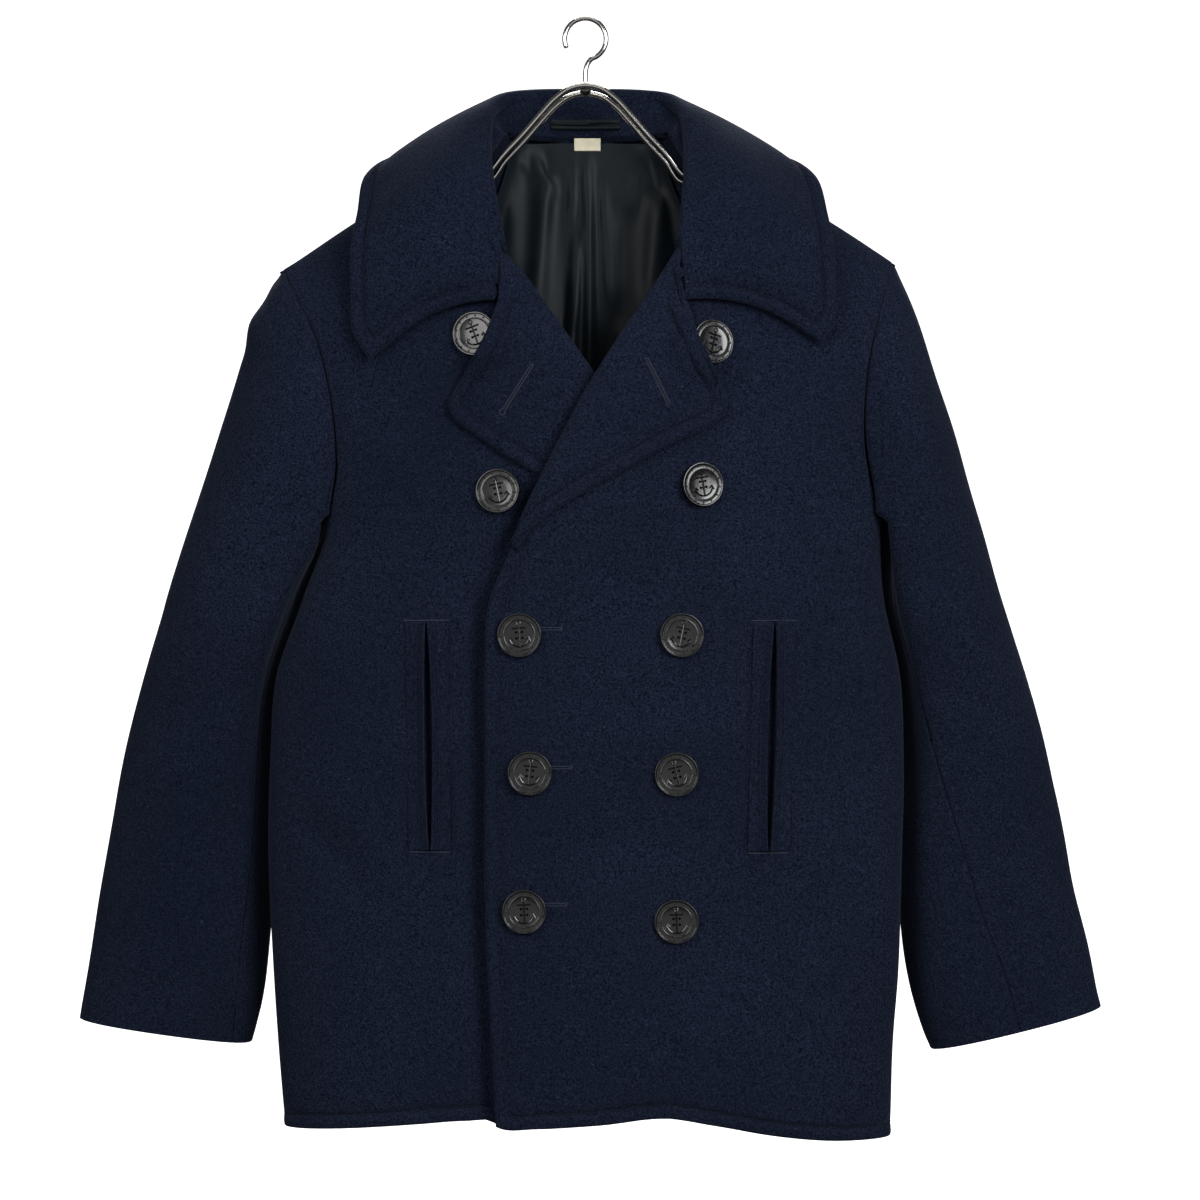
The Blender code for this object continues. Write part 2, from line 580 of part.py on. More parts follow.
def sleevePanel(side, upper, shares, alongs):
    """The upper or the under sleeve, between the front seam and the back seam."""
    table = sleeveLeft if side < 0 else sleeveRight
    share, along = np.meshgrid(shares, alongs, indexing="xy")
    seam = curve(column(table, 0), column(table, 7), np.maximum(along, table[0][0]))
    seam = frontSeam + (seam - frontSeam) * smooth(0, table[0][0], along)
    first, last = (seam, backSeam) if upper else (backSeam, seam + 360)
    around = first + (last - first) * share
    points, intoBody = sleevePoint(side, around, along)
    normals = sleeveNormals(side, around, along, intoBody)
    for place, sign in ((0, 1), (-1, -1)):
        run = sleevePoint(side, around[:, place] + 1, along[:, place])[0] - points[:, place]
        points[:, place] += unit(run) * sign * seamGap
    return points, normals


# ---------------------------------------------------------------- meshes
def finish(name, vertices, faces, material, smoothAngle=None):
    vertices = np.asarray(vertices, float) * 0.001
    mesh = bpy.data.meshes.new(name)
    corners = [vertices[list(face)] for face in faces]
    volume = sum(np.dot(c[0], np.cross(c[i], c[i + 1])) for c in corners for i in range(1, len(c) - 1))
    if volume < 0:
        faces = [tuple(reversed(face)) for face in faces]
    mesh.from_pydata(vertices.tolist(), [], faces)
    mesh.validate()
    mesh.materials.append(material)
    if smoothAngle:
        mesh.shade_smooth()
        mesh.set_sharp_from_angle(angle=math.radians(smoothAngle))
    thing = bpy.data.objects.new(name, mesh)
    bpy.context.scene.collection.objects.link(thing)
    return thing


def wall(name, points, normals, thickness, material, closed=False):
    """A closed wall of cloth: the outer points, the same points moved in, and the edges between."""
    rows, columns = points.shape[:2]
    thickness = np.broadcast_to(np.asarray(thickness, float), (rows, columns))
    inner = points - normals * thickness[..., None]
    vertices = np.concatenate([points.reshape(-1, 3), inner.reshape(-1, 3)])
    count = rows * columns
    spans = columns if closed else columns - 1
    faces = []
    for r in range(rows - 1):
        for c in range(spans):
            a, b = r * columns + c, r * columns + (c + 1) % columns
            d, e = a + columns, b + columns
            faces += [(a, b, e, d), (count + d, count + e, count + b, count + a)]
    for c in range(spans):
        for r, flip in ((0, False), (rows - 1, True)):
            a, b = r * columns + c, r * columns + (c + 1) % columns
            face = (a, count + a, count + b, b)
            faces.append(face[::-1] if flip else face)
    if not closed:
        for r in range(rows - 1):
            for c, flip in ((0, True), (columns - 1, False)):
                a, b = r * columns + c, (r + 1) * columns + c
                face = (a, count + a, count + b, b)
                faces.append(face[::-1] if flip else face)
    return finish(name, vertices, faces, material, 50)


def wallTree(*names):
    """The faces of finished pieces, in millimetres, to measure from."""
    vertices, faces = [], []
    for name in names:
        mesh = bpy.data.objects[name].data
        first = len(vertices)
        vertices += [vertex.co * 1000 for vertex in mesh.vertices]
        faces += [[first + i for i in face.vertices] for face in mesh.polygons]
    return BVHTree.FromPolygons(vertices, faces)


def tube(name, path, width, sides, material):
    """A round bar along a path of points."""
    path = np.asarray(path, float)
    along = unit(np.gradient(path, axis=0))
    side = unit(np.cross(along, np.array([0.0, 1.0, 0.0])))
    up = np.cross(side, along)
    angles = np.arange(sides) * 2 * math.pi / sides
    rings = path[:, None] + width / 2 * (np.cos(angles)[None, :, None] * side[:, None]
                                         + np.sin(angles)[None, :, None] * up[:, None])
    vertices = rings.reshape(-1, 3)
    faces = [tuple(range(sides)), tuple(reversed(range(len(vertices) - sides, len(vertices))))]
    for r in range(len(path) - 1):
        for c in range(sides):
            a, b = r * sides + c, r * sides + (c + 1) % sides
            faces.append((b, a, a + sides, b + sides))
    return finish(name, vertices, faces, material, 60)


def material(name, colour, roughness, metallic=0.0):
    made = bpy.data.materials.new(name)
    made.use_nodes = True
    shader = made.node_tree.nodes["Principled BSDF"]
    shader.inputs["Base Color"].default_value = (*colour, 1)
    shader.inputs["Roughness"].default_value = roughness
    shader.inputs["Metallic"].default_value = metallic
    return made


# ---------------------------------------------------------------- building
def steps(*places):
    return np.array(places, float)


# where the rows of the panels and the columns of the sleeves meet round the armhole, in degrees
frontNotches = steps(0, 9, 18, 27, 36, 54, 72, 90, 108, 126, 140, 153, 166, 174.5, 180)
backNotches = steps(0, 13.5, 27, 40.5, 54, 81, 108, 135, 153, 166, 174.5, 180)


def buildBody(wool):
    below = steps(0, .02, .05, .1, .16, .22, .28, .34, .4, .45, .5, .55)
    rises = np.concatenate([below, 0.6 + 0.4 * frontNotches / 180])
    shares = steps(0, .06, .16, .28, .4, .52, .64, .75, .85, .93, 1)
    points, normals, thick = frontPanel(underlapEdge, -1, armholeLeftFront, rises, shares, False)
    wall("front_underlap", points, normals, thick, wool)
    points, normals, thick = frontPanel(overlapEdge, 1, armholeRightFront, rises, shares, True)
    wall("front_overlap", points, normals, thick, wool)
    below = steps(0, .05, .12, .2, .28, .36, .44, .52)
    rises = np.concatenate([below, 0.6 + 0.4 * backNotches / 180])
    shares = steps(0, .055, .1, .14, .17, .28, .42, .56, .7, .82, .92, 1)
    for name, side, armhole in (("back_left", -1, armholeLeftBack), ("back_right", 1, armholeRightBack)):
        wall(name, *backPanel(side, armhole, rises, shares), wool)


def buildLapels(wool):
    across = np.arange(len(lapelRoll)).astype(float)
    for name, table, side, overlap in (("lapel_underlap", lapelUnderlap, -1, False),
                                       ("lapel_overlap", lapelOverlap, 1, True)):
        last = len(table) - 1
        along = np.concatenate([np.arange(8), np.linspace(8.5, last, 5)])
        points, thick = lapelGrid(table, side, along, across, overlap)
        normals = gridNormals(points) * -side
        normals[0, :, 0] = 0
        wall(name, points, unit(normals), thick, wool)


def buildCollar(wool):
    stations = steps(0, .5, 1, 2, 3, 4, 4.5, 5, 5.5, 6, 6.5, 7, 8, 9)
    stations = np.concatenate([stations, 18 - stations[-2::-1]])
    across = steps(0, .12, footShare, .235, .27, .305, foldShare, .42, .53, middleShare, .76, .88, .95, 1)
    points = collarGrid(stations, across)
    normals = -gridNormals(points)
    normals[:, 0, 2] = 0
    normals[(0, -1), :, 0] = 0
    wall("collar", points, unit(normals), collarWall, wool)


def buildSleeves(wool):
    alongs = steps(0, .02, .05, .1, .16, .22, .28, .35, .42, .5, .58, .66, .74, .82, .9, .96, 1)
    for side, name in ((-1, "left"), (1, "right")):
        front = frontNotches[frontNotches >= frontSeam]
        back = 360 - backNotches[::-1]
        upper = np.concatenate([front, back[(back > 180) & (back <= backSeam)]])
        upper = (upper - frontSeam) / (backSeam - frontSeam)
        below = frontNotches[(frontNotches > 0) & (frontNotches <= frontSeam)]
        under = np.concatenate([back[back >= backSeam], 360 + below])
        under = (under - backSeam) / (360 + frontSeam - backSeam)
        for part, isUpper, shares in (("upper", True, upper), ("under", False, under)):
            thick = np.full((len(alongs), len(shares)), woolWall)
            thick[:, (0, -1)] = seamWall
            wall(f"sleeve_{name}_{part}", *sleevePanel(side, isUpper, shares, alongs), thick, wool)


def buttonPlace(across, height, turn, tilt):
    """Centre of a button's under side on the cloth, and its axes: right, up and outward."""
    overlap = across > -60
    girth = girthAt(across, height)
    out = bodyNormal(girth, height, overlap)
    centre = bodyPoint(girth, height, overlap)
    right = unit(np.cross(np.array([0.0, 0.0, 1.0]), out) * -1)
    tilted = math.radians(tilt)
    out, right = (out * math.cos(tilted) + right * math.sin(tilted),
                  right * math.cos(tilted) - out * math.sin(tilted))
    up = np.cross(right, out) * -1
    turned = math.radians(turn)
    right, up = (right * math.cos(turned) + up * math.sin(turned),
                 up * math.cos(turned) - right * math.sin(turned))
    return centre, right, up, out


def buildButtons(plastic):
    """Each a turned disc with a raised rim round a shallow dish."""
    sides = 20
    profile = ((0.62, 0), (0.92, 0.8), (1.0, 2.4), (0.97, 4.4), (0.88, buttonThick), (0.78, 3.9))
    angles = np.arange(sides) * 2 * math.pi / sides
    tree = wallTree("front_overlap", "front_underlap")
    for name, across, height, turn, tilt in buttons:
        centre, right, up, out = buttonPlace(across, height, turn, tilt)
        gaps = []
        for share, rise in profile[:3]:
            for angle in angles:
                place = right * math.cos(angle) + up * math.sin(angle)
                place = centre + place * share * buttonWidth / 2 + out * (rise + 25)
                gaps.append(tree.ray_cast(Vector(place), Vector(-out))[3] - 25)
        centre = centre - out * (min(gaps) - buttonGap)
        vertices, faces = [], []
        for share, rise in profile:
            ring = np.cos(angles)[:, None] * right + np.sin(angles)[:, None] * up
            vertices += list(centre + ring * share * buttonWidth / 2 + out * rise)
        for r in range(len(profile) - 1):
            for c in range(sides):
                n = (c + 1) % sides
                faces.append((r * sides + c, r * sides + n, (r + 1) * sides + n, (r + 1) * sides + c))
        last = len(vertices) - sides
        faces += [tuple(reversed(range(sides))), tuple(range(last, last + sides))]
        finish(name, vertices, faces, plastic, 40)


def buildWelts(wool):
    rises, shares = np.linspace(0, 1, 7), np.linspace(-1, 1, 3)
    for side, topX, topZ, lowX, lowZ in pockets:
        inward = 1 if side == "left" else -1
        for part, sign in (("front", inward), ("side", -inward)):
            x = (lowX + (topX - lowX) * rises)[:, None] + sign * (slitOpen / 2 + weltWidth * (shares + 1) / 2)
            z = (lowZ + (topZ - lowZ) * rises)[:, None] + 0 * shares
            girth = girthAt(x, z)
            overlap = side == "right"
            normals = bodyNormal(girth, z, overlap)
            crown = 0.5 * (1 - shares ** 2)
            points = bodyPoint(girth, z, overlap) + normals * (weltThick + 0.8 + crown)[None, :, None]
            wall(f"welt_{side}_{part}", points, normals, weltThick + crown, wool)


def liningPoint(across, height):
    """The lining hangs just inside the back, with a pleat down its middle and soft folds beside it."""
    across, height = np.broadcast_arrays(np.asarray(across, float), np.asarray(height, float))
    girth = girthAt(across, height)
    girth = np.where(girth < 0, -2 - girth, 2 - girth)
    away = woolWall + 2.4 + liningWall + 4 * smooth(-140, -220, height)
    points = bodyPoint(girth, height) - bodyNormal(girth, height) * away[..., None]
    fade = smooth(-94, -150, height)
    for centre, halfWidth, fold in liningFolds:
        lean = centre * (1 + 0.0004 * (-96 - height))
        points[..., 1] -= fold * fade * np.exp(-((across - lean) / halfWidth) ** 2)
    return points


def buildLining(satin):
    across = steps(-190, -160, -125, -98, -80, -66, -52, -40, -28, -18, -10, -4, 2, 8, 16, 26, 38, 50,
                   64, 80, 98, 125, 160, 190)
    rises = steps(0, .02, .07, .14, .22, .32, .44, .58, .74, .88, 1)
    top = np.minimum(neckSeamHeight - 3.0, ridgeHeight(across) - 30 - 16 * smooth(60, 100, np.abs(across)))
    height = top[None, :] + (liningHem - top[None, :]) * rises[:, None]
    points = liningPoint(across[None, :] * (1 + 0.1 * rises[:, None]), height)
    normals = gridNormals(points)
    normals *= np.where(normals[..., 1:2] > 0, -1, 1)
    wall("lining_back", points, normals, liningWall, satin)


def buildNeck(satin, tape):
    """The hanging loop across the stand, and the size label over the neck seam."""
    across = np.linspace(-29, 29, 9)
    height = steps(loopHeight + 4.5, loopHeight, loopHeight - 4.5)
    x, z = np.meshgrid(across, height)
    share = 1 - (x / 29) ** 2
    stand = collarGrid(9 + across / 37.0, steps(0, footShare))
    low, high = ([np.interp(across, stand[:, j, 0], stand[:, j, i]) for i in (1, 2)] for j in (0, 1))
    y = low[0] + (high[0] - low[0]) * (z - low[1]) / (high[1] - low[1]) - 2.4 - 1.4 * share ** 0.5
    points = np.stack([x, y, z], axis=-1)
    normals = np.broadcast_to(np.array([0.0, -1.0, 0.0]), points.shape)
    wall("hanging_loop", points, normals, 1.3, satin)
    x, z = np.meshgrid(np.linspace(-9.5, 12.5, 5), np.linspace(-91.2, -101.7, 3))
    lining = liningPoint(x, np.full_like(x, -97.0))[..., 1]
    points = np.stack([x, lining - 1.3, z], axis=-1)
    wall("size_label", points, np.broadcast_to(np.array([0.0, -1.0, 0.0]), points.shape), 0.7, tape)


# ---------------------------------------------------------------- hanger
def seated(tree, across, depth, start):
    """Height at which a wire rests up against the inside of the cloth at this place."""
    for height in np.arange(start - 60, start, 0.2):
        if tree.find_nearest(Vector((across, depth, height)))[3] < wireWidth / 2 + wireClear:
            break
    return height - 0.2


def hangerWire(front):
    """One wire from end to end: arm, arch over the neck, arm."""
    sign = -1 if front else 1
    lower = 0 if front else 2.5
    tree = wallTree(*(("front_overlap", "front_underlap") if front else ("back_left", "back_right")))
    halves = []
    for side in (-1, 1):
        arch = [(side * x, sign * wireApart / 2, z - lower) for x, z in hangerArch[1:]]
        arm = [(side * x, sign * wireApart / 2) for x in np.linspace(92, hangerReach, 12)]
        arm += [(side * (hangerReach + 7), sign * wireApart * 0.36),
                (side * (hangerReach + 11), sign * (wireWidth / 2 + 0.4))]
        arm = [(x, y, seated(tree, x, y, ridgeHeight(x) - woolWall)) for x, y in arm]
        halves.append(arch + arm)
    middle = [(0, sign * wireApart / 2, hangerArch[0][1] - lower)]
    path = np.array(halves[0][::-1] + middle + halves[1], float)
    run = np.concatenate([[0], np.cumsum(np.linalg.norm(np.diff(path, axis=0), axis=1))])
    places = np.concatenate([np.linspace(0, 0.3, 12), np.linspace(0.335, 0.665, 17), np.linspace(0.7, 1, 12)])
    return curve(run, path, run[-1] * places)


def hookPath():
    radius = hookInside + hookWire / 2
    stem = [(0, 0, hangerArch[0][1] + 1.5), (0, 0, -46), (0.4, 0, -40), (1.8, 0, -35.5)]
    arc = [(radius * math.cos(a), 0, -hookInside + radius * math.sin(a))
           for a in np.radians(np.linspace(-72, 205, 24))]
    path = np.array(stem + arc, float)
    run = np.concatenate([[0], np.cumsum(np.linalg.norm(np.diff(path, axis=0), axis=1))])
    return curve(run, path, np.linspace(0, run[-1], 34))


def buildHanger(chrome, steel):
    tube("hanger_wire_front", hangerWire(True), wireWidth, 8, chrome)
    tube("hanger_wire_back", hangerWire(False), wireWidth, 8, chrome)
    path = hookPath()
    along = unit(np.gradient(path, axis=0))
    tube("hanger_hook", path, hookWire, 10, chrome)
    low, high = hangerArch[0][1] - 5.0, hangerArch[0][1] + 1.2
    reach = wireApart / 2 - wireWidth / 2 - 0.3
    ring = [(4.6 * math.cos(a), 4.6 * math.sin(a)) for a in np.radians(np.arange(0, 360, 30))]
    depths = (-reach, -reach + 1.0, reach - 1.0, reach)
    vertices, faces = [], []
    for depth, share in zip(depths, (0.8, 1, 1, 0.8)):
        vertices += [(x * share, depth, (low + high) / 2 + z * share * 0.72) for x, z in ring]
    for r in range(3):
        for c in range(12):
            n = (c + 1) % 12
            faces.append((r * 12 + c, r * 12 + n, (r + 1) * 12 + n, (r + 1) * 12 + c))
    faces += [tuple(reversed(range(12))), tuple(range(36, 48))]
    finish("hanger_nut", vertices, faces, steel, 40)


def main():
    for thing in list(bpy.data.objects):
        bpy.data.objects.remove(thing, do_unlink=True)
    wool = material("wool", (0.014, 0.020, 0.038), 0.95)
    satin = material("lining satin", (0.012, 0.018, 0.020), 0.45)
    tape = material("label tape", (0.72, 0.68, 0.56), 0.8)
    plastic = material("button plastic", (0.006, 0.006, 0.007), 0.12)
    chrome = material("chrome", (0.82, 0.80, 0.77), 0.12, 1.0)
    steel = material("dark steel", (0.10, 0.10, 0.10), 0.35, 1.0)
    buildBody(wool)
    buildLapels(wool)
    buildCollar(wool)
    buildSleeves(wool)
    buildWelts(wool)
    buildButtons(plastic)
    buildLining(satin)
    buildNeck(satin, tape)
    buildHanger(chrome, steel)


main()
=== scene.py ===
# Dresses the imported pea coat: wool with its rolled edges, creases and sewing, satin lining, buttons
# and hanger.
# The sewn form is worked out in millimetres and becomes metres where each mesh is made.
import math

import bmesh
import bpy
import numpy as np
from mathutils import Matrix, Vector
from mathutils.bvhtree import BVHTree


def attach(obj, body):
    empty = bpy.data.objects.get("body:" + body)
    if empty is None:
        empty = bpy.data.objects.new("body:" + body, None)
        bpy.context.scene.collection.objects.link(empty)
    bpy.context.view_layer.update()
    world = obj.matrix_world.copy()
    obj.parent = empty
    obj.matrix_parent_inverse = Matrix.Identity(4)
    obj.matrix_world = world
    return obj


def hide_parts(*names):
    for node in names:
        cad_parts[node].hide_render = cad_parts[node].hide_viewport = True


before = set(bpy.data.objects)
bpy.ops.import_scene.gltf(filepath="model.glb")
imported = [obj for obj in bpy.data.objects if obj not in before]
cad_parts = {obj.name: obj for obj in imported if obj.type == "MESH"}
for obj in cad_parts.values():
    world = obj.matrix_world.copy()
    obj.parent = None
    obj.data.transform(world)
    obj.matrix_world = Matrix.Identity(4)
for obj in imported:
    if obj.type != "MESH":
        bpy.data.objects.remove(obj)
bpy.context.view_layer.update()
print("frame loaded:", len(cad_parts), "pieces")

# sizes in millimetres, as the solids have them
seamGap = 0.3  # between two pieces that are sewn together
woolWall = 3.0  # melton with its interlining
doubleWall = 5.0  # two layers: front edges, hem and lapels
collarWall = 4.2
liningWall = 1.8
sideForward = 8.0  # the side seams hang this far in front of the shoulder line
sectionPower = 2.5  # how square the body is in plan: 2 is an ellipse
shoulderDrop = 105.0  # the body reaches its full depth this far under the shoulder line
frontEdgeTurn = 95.0  # width of the facing behind each front edge
hemTurn = 40.0
buttonWidth = 35.0
buttonThick = 5.0
buttonGap = 0.4  # between the cloth and the lowest part of a button
buttonBump = 9.5  # a lapel stands this much further out where it covers a button
wireWidth = 4.8
hookWire = 4.0
hookInside = 15.0  # radius of the hook, for a rail of 25 to 28 mm

# half width to each side, depth to the front and depth to the back
bodySections = (
    (-905, 245, 249, 70, 60),
    (-841, 250, 251, 68, 58),
    (-768, 255, 256, 66, 57),
    (-664, 259, 259, 64, 55),
    (-600, 257, 260, 63, 54),
    (-536, 252, 257, 62, 53),
    (-475, 231, 244, 62, 52),
    (-410, 212, 241, 62, 51),
    (-372, 218, 243, 61, 50),
    (-338, 227, 247, 60, 50),
    (-292, 240, 256, 57, 48),
    (-245, 258, 268, 54, 46),
    (-200, 276, 281, 50, 44),
    (-50, 292, 296, 46, 42),
)

# the shoulder line seen from the front, with the neck hole rising out of its middle
shoulderRidge = (
    (-340, -268), (-248, -204), (-191, -166), (-130, -130), (-76, -98), (-58, -46), (-34, -4),
    (0, 12), (34, -4), (60, -46), (78, -96), (130, -127), (200, -164), (252, -198), (340, -261),
)

# how far the overlap stands in front of the piece under it
overlapLift = (
    (-910, 7.0), (-520, 7.0), (-480, 7.4), (-440, 10.5), (-400, 12.0), (-340, 13.2), (-297, 12.4),
    (-262, 8.0), (-230, 3.2), (-195, 0.8), (-150, 0),
)
liftFull, liftNone = 70.0, 124.0  # the lift fades out between these places across the front

# edges of the panels: rise is 0 at the hem, 0.6 at the underarm and 1 at the shoulder seam
underlapEdge = (
    (0.00, 62, -886), (0.20, 63, -745), (0.40, 63, -600), (0.54, 62, -480), (0.585, 55, -438),
    (0.62, 49, -405), (0.70, 24, -345), (0.76, 1, -296), (0.82, -23, -260), (0.88, -51, -218),
    (0.92, -74, -192), (0.95, -86, -165), (0.975, -87, -130), (1.00, -76, -98),
)
overlapEdge = (
    (0.00, -71, -895), (0.10, -76, -804), (0.22, -80, -713), (0.36, -80, -594), (0.46, -80, -520),
    (0.52, -76, -475), (0.56, -62, -441), (0.60, -48, -415), (0.66, -19, -360), (0.72, 8, -308),
    (0.78, 36, -264), (0.84, 66, -219), (0.88, 83, -192), (0.92, 92, -165), (0.96, 91, -130),
    (1.00, 78, -96),
)
armholeLeftFront = (
    (0.60, -212, -410), (0.64, -205, -391), (0.68, -201, -372), (0.72, -201, -354),
    (0.78, -203, -328), (0.84, -208, -298), (0.89, -215, -270), (0.94, -227, -243),
    (1.00, -248, -204),
)
armholeRightFront = (
    (0.60, 241, -410), (0.65, 232, -380), (0.72, 226, -345), (0.80, 227, -300), (0.87, 233, -263),
    (0.94, 242, -230), (1.00, 252, -198),
)
armholeLeftBack = (
    (0.60, -212, -410), (0.66, -206, -380), (0.74, -205, -340), (0.84, -212, -288),
    (0.93, -228, -242), (1.00, -248, -204),
)
armholeRightBack = (
    (0.60, 241, -410), (0.66, 233, -378), (0.74, 229, -338), (0.84, 232, -285), (0.93, 241, -240),
    (1.00, 252, -198),
)
hemLine = (
    (-245, -903), (-189, -899), (-132, -894), (-98, -891), (-79, -891), (-66, -896), (-40, -896),
    (12, -893), (70, -888), (101, -894), (146, -903), (192, -909), (249, -911),
)
neckSeamHeight = -92.0  # the collar seam at the back of the neck

# fold line and free edge of each turned lapel; swell is how much of its full roll it has there
lapelUnderlap = (
    (-67.9, -193, -69.4, -238, 1), (-60, -201, -74, -256, 1), (-52, -210, -85, -278, 1),
    (-44, -220, -102, -303, 1), (-36, -232, -109, -317, 1), (-27, -245, -105, -330, 1),
    (-18, -258, -86, -344, 1), (-9, -271, -64, -359, 1), (0, -284, -48, -369, 0.8),
    (9, -297, -30, -380, 0.5), (23, -326, -4, -398, 0.4), (36, -355, 18, -415, 0.4),
    (48, -385, 38, -430, 0.4), (56, -410, 51, -439, 0.4), (60, -428, 60, -445, 0.4),
)
lapelOverlap = (
    (75.6, -190, 75.7, -237, 1), (70.5, -199, 82, -254, 1), (66, -207, 92, -281, 1),
    (57, -221, 106, -301, 1), (47, -236, 112, -315, 1), (36, -252, 110, -327, 1),
    (26, -267, 95, -338, 1), (12, -289, 71, -350, 1), (-2, -312, 42, -366, 1),
    (-15, -337, 12, -382, 1), (-28, -363, -12, -397, 0.95), (-40, -387, -31, -409, 0.8),
    (-51, -409, -45, -422, 0.65), (-60, -428, -53, -437, 0.5),
)
# the roll of a lapel across its width: reach in mm from the fold, then as a share of the width
lapelRoll = (
    (17, 0.00, -6.1), (9, 0.00, -6.2), (2.5, 0.00, -5.2), (-0.6, 0.00, -0.6), (-0.2, 0.00, 3.6),
    (3.4, 0.02, 7.0), (6.5, 0.08, 8.7), (6.0, 0.20, 9.3), (4.0, 0.40, 8.7), (2.0, 0.62, 7.4),
    (1.0, 0.82, 6.3), (0, 1.00, 5.7),
)

# stations round the collar, from its front end to the centre of the back
collarLeft = (
    (-71, -47, -190, -69.5, -53, -189, -71.5, -62, -235, -173, -56, -282, 0),
    (-75, -43, -168, -74, -50, -166, -108, -66, -208, -187, -54, -259, 2),
    (-78, -34, -147, -78, -44, -144, -119, -62, -174, -189, -52, -228, 4),
    (-80, -22, -124, -81, -30, -120, -124, -50, -144, -189, -47, -192, 6),
    (-75.5, -10, -101, -82, -14, -98, -124, -28, -118, -185, -33, -162, 7),
    (-71.5, -2, -88.5, -81, 2, -79, -122, -2, -96, -181, -10, -130, 7),
    (-68.5, 10, -91, -76, 18, -67, -110, 18, -84, -162, 16, -117, 6),
    (-56, 22, -89.5, -63, 33, -59, -84, 40, -76, -122, 40, -126, 4),
    (-33, 33, -90.5, -37, 43, -55, -46, 52, -83, -64, 54, -135, 2),
    (0, 37, -90.5, 0, 47, -54, 0, 56, -84, 0, 59, -138, 1),
)
collarRight = (
    (80.4, -46, -187, 79.9, -53, -186, 79.0, -62, -235, 189, -54, -268, 0),
    (82, -42, -167, 82, -50, -164, 118, -65, -203, 201, -53, -252, 2),
    (83, -33, -147, 84, -43, -143, 127, -61, -172, 202, -51, -230, 4),
    (83, -22, -124, 85, -30, -120, 131, -50, -143, 201, -46, -194, 6),
    (76, -10, -100.5, 85, -14, -98, 130, -28, -117, 197, -33, -164, 7),
    (71.5, -1.5, -89.5, 83, 2, -79, 125, -2, -96, 189, -10, -130, 7),
    (69.5, 10, -91, 77, 18, -67, 111, 18, -83, 165, 16, -116.5, 6),
    (57, 22, -89.5, 65, 33, -59, 86, 40, -76, 124, 40, -126, 4),
    (33, 33, -90.5, 38, 43, -55, 46, 52, -83, 65, 54, -135, 2),
    (0, 37, -90.5, 0, 47, -54, 0, 56, -84, 0, 59, -138, 1),
)

foldRadius = 6.0
endBow = 12.0  # how far the front ends of the collar curve up between notch and point
footShare, foldShare, middleShare = 0.2, 0.34, 0.64  # where foot, fold and middle lie across it

# rings of each sleeve below the underarm: centre, half width, half depth, tilt, place of the seam
sleeveLeft = (
    (0.42, -289, 17, -492, 59, 55, 17, 28), (0.55, -309, 21, -570, 61, 50, 15, 26),
    (0.68, -320, 24, -652, 68, 44, 12, 30), (0.80, -329, 24, -726, 73, 40, 10, 42),
    (0.90, -336, 22, -784, 74.5, 36, 9, 46), (1.00, -346, 20, -830, 72.5, 33, 8, 37),
)
sleeveRight = (
    (0.42, 291, 17, -488, 54, 57, 17, 26), (0.55, 309, 21, -565, 60, 50, 15, 52),
    (0.68, 319, 24, -647, 69, 44, 13, 74), (0.80, 329, 24, -719, 74, 40, 12, 84),
    (0.90, 340, 22, -776, 77, 36, 13, 90), (1.00, 355, 20, -828, 73, 33, 14, 90),
)
sleeveSquare = 2.25
sleeveClear = 2.2  # a sleeve lies this near to the body's side
contactSoft = 7.0  # how sharply a sleeve turns where it leaves the body's side
frontSeam, backSeam = 36.0, 306.0  # where the sleeve seams meet the armhole, in degrees round it

# largest soft folds: from one end to the other on the front view, half width, depth
frontFolds = (
    (-238, -642, -176, -712, 26, 5.0), (-214, -700, -150, -800, 34, 3.0),
    (215, -560, 236, -700, 28, 3.0), (-40, -560, 110, -556, 24, 1.6),
    (-36, -668, 100, -672, 24, 1.6),
)
backFolds = (
    (-150, -300, -110, -620, 40, 4.0), (150, -310, 120, -640, 40, 4.0),
    (-220, -480, -120, -560, 26, 4.0), (222, -490, 130, -575, 26, 4.0),
)

# buttons: centre on the front view, turn in the plane of the cloth, tilt sideways and forward
buttons = (
    ("button_left_1", -87.5, -262, 20, 9), ("button_left_2", -69, -388, 12, 6),
    ("button_left_3", -52, -503, 4, 2), ("button_left_4", -44, -613, -6, -2),
    ("button_left_5", -48, -723, 3, 3), ("button_right_1", 100, -269, -14, -8),
    ("button_right_2", 92, -383, 10, -1), ("button_right_3", 77, -503, -12, 2),
    ("button_right_4", 73, -614, 14, 2), ("button_right_5", 73, -731, 2, 5),
)

# welts: the slit's top and bottom on the front view
pockets = (("left", -127, -493, -124, -675), ("right", 152, -493, 147, -676))
slitOpen = 4.0
weltWidth = 15.0

# folds of the lining: middle of each at the top, half width, depth
liningFolds = ((-62, 13, 5.0), (-36, 9, 3.5), (-10, 5, 4.5), (3, 4, 6.5), (28, 12, 4.0),
               (58, 13, 5.5))
liningHem = -868.0
loopHeight = -79.5

# the front wire of the hanger over the neck, to the right of its middle
hangerArch = ((0, -55), (14, -58), (25, -66), (37, -79), (50, -94), (66, -111), (80, -128))
wireApart = 24.0  # between the two wires, front to back


def column(table, place):
    return np.array([row[place] for row in table], float)


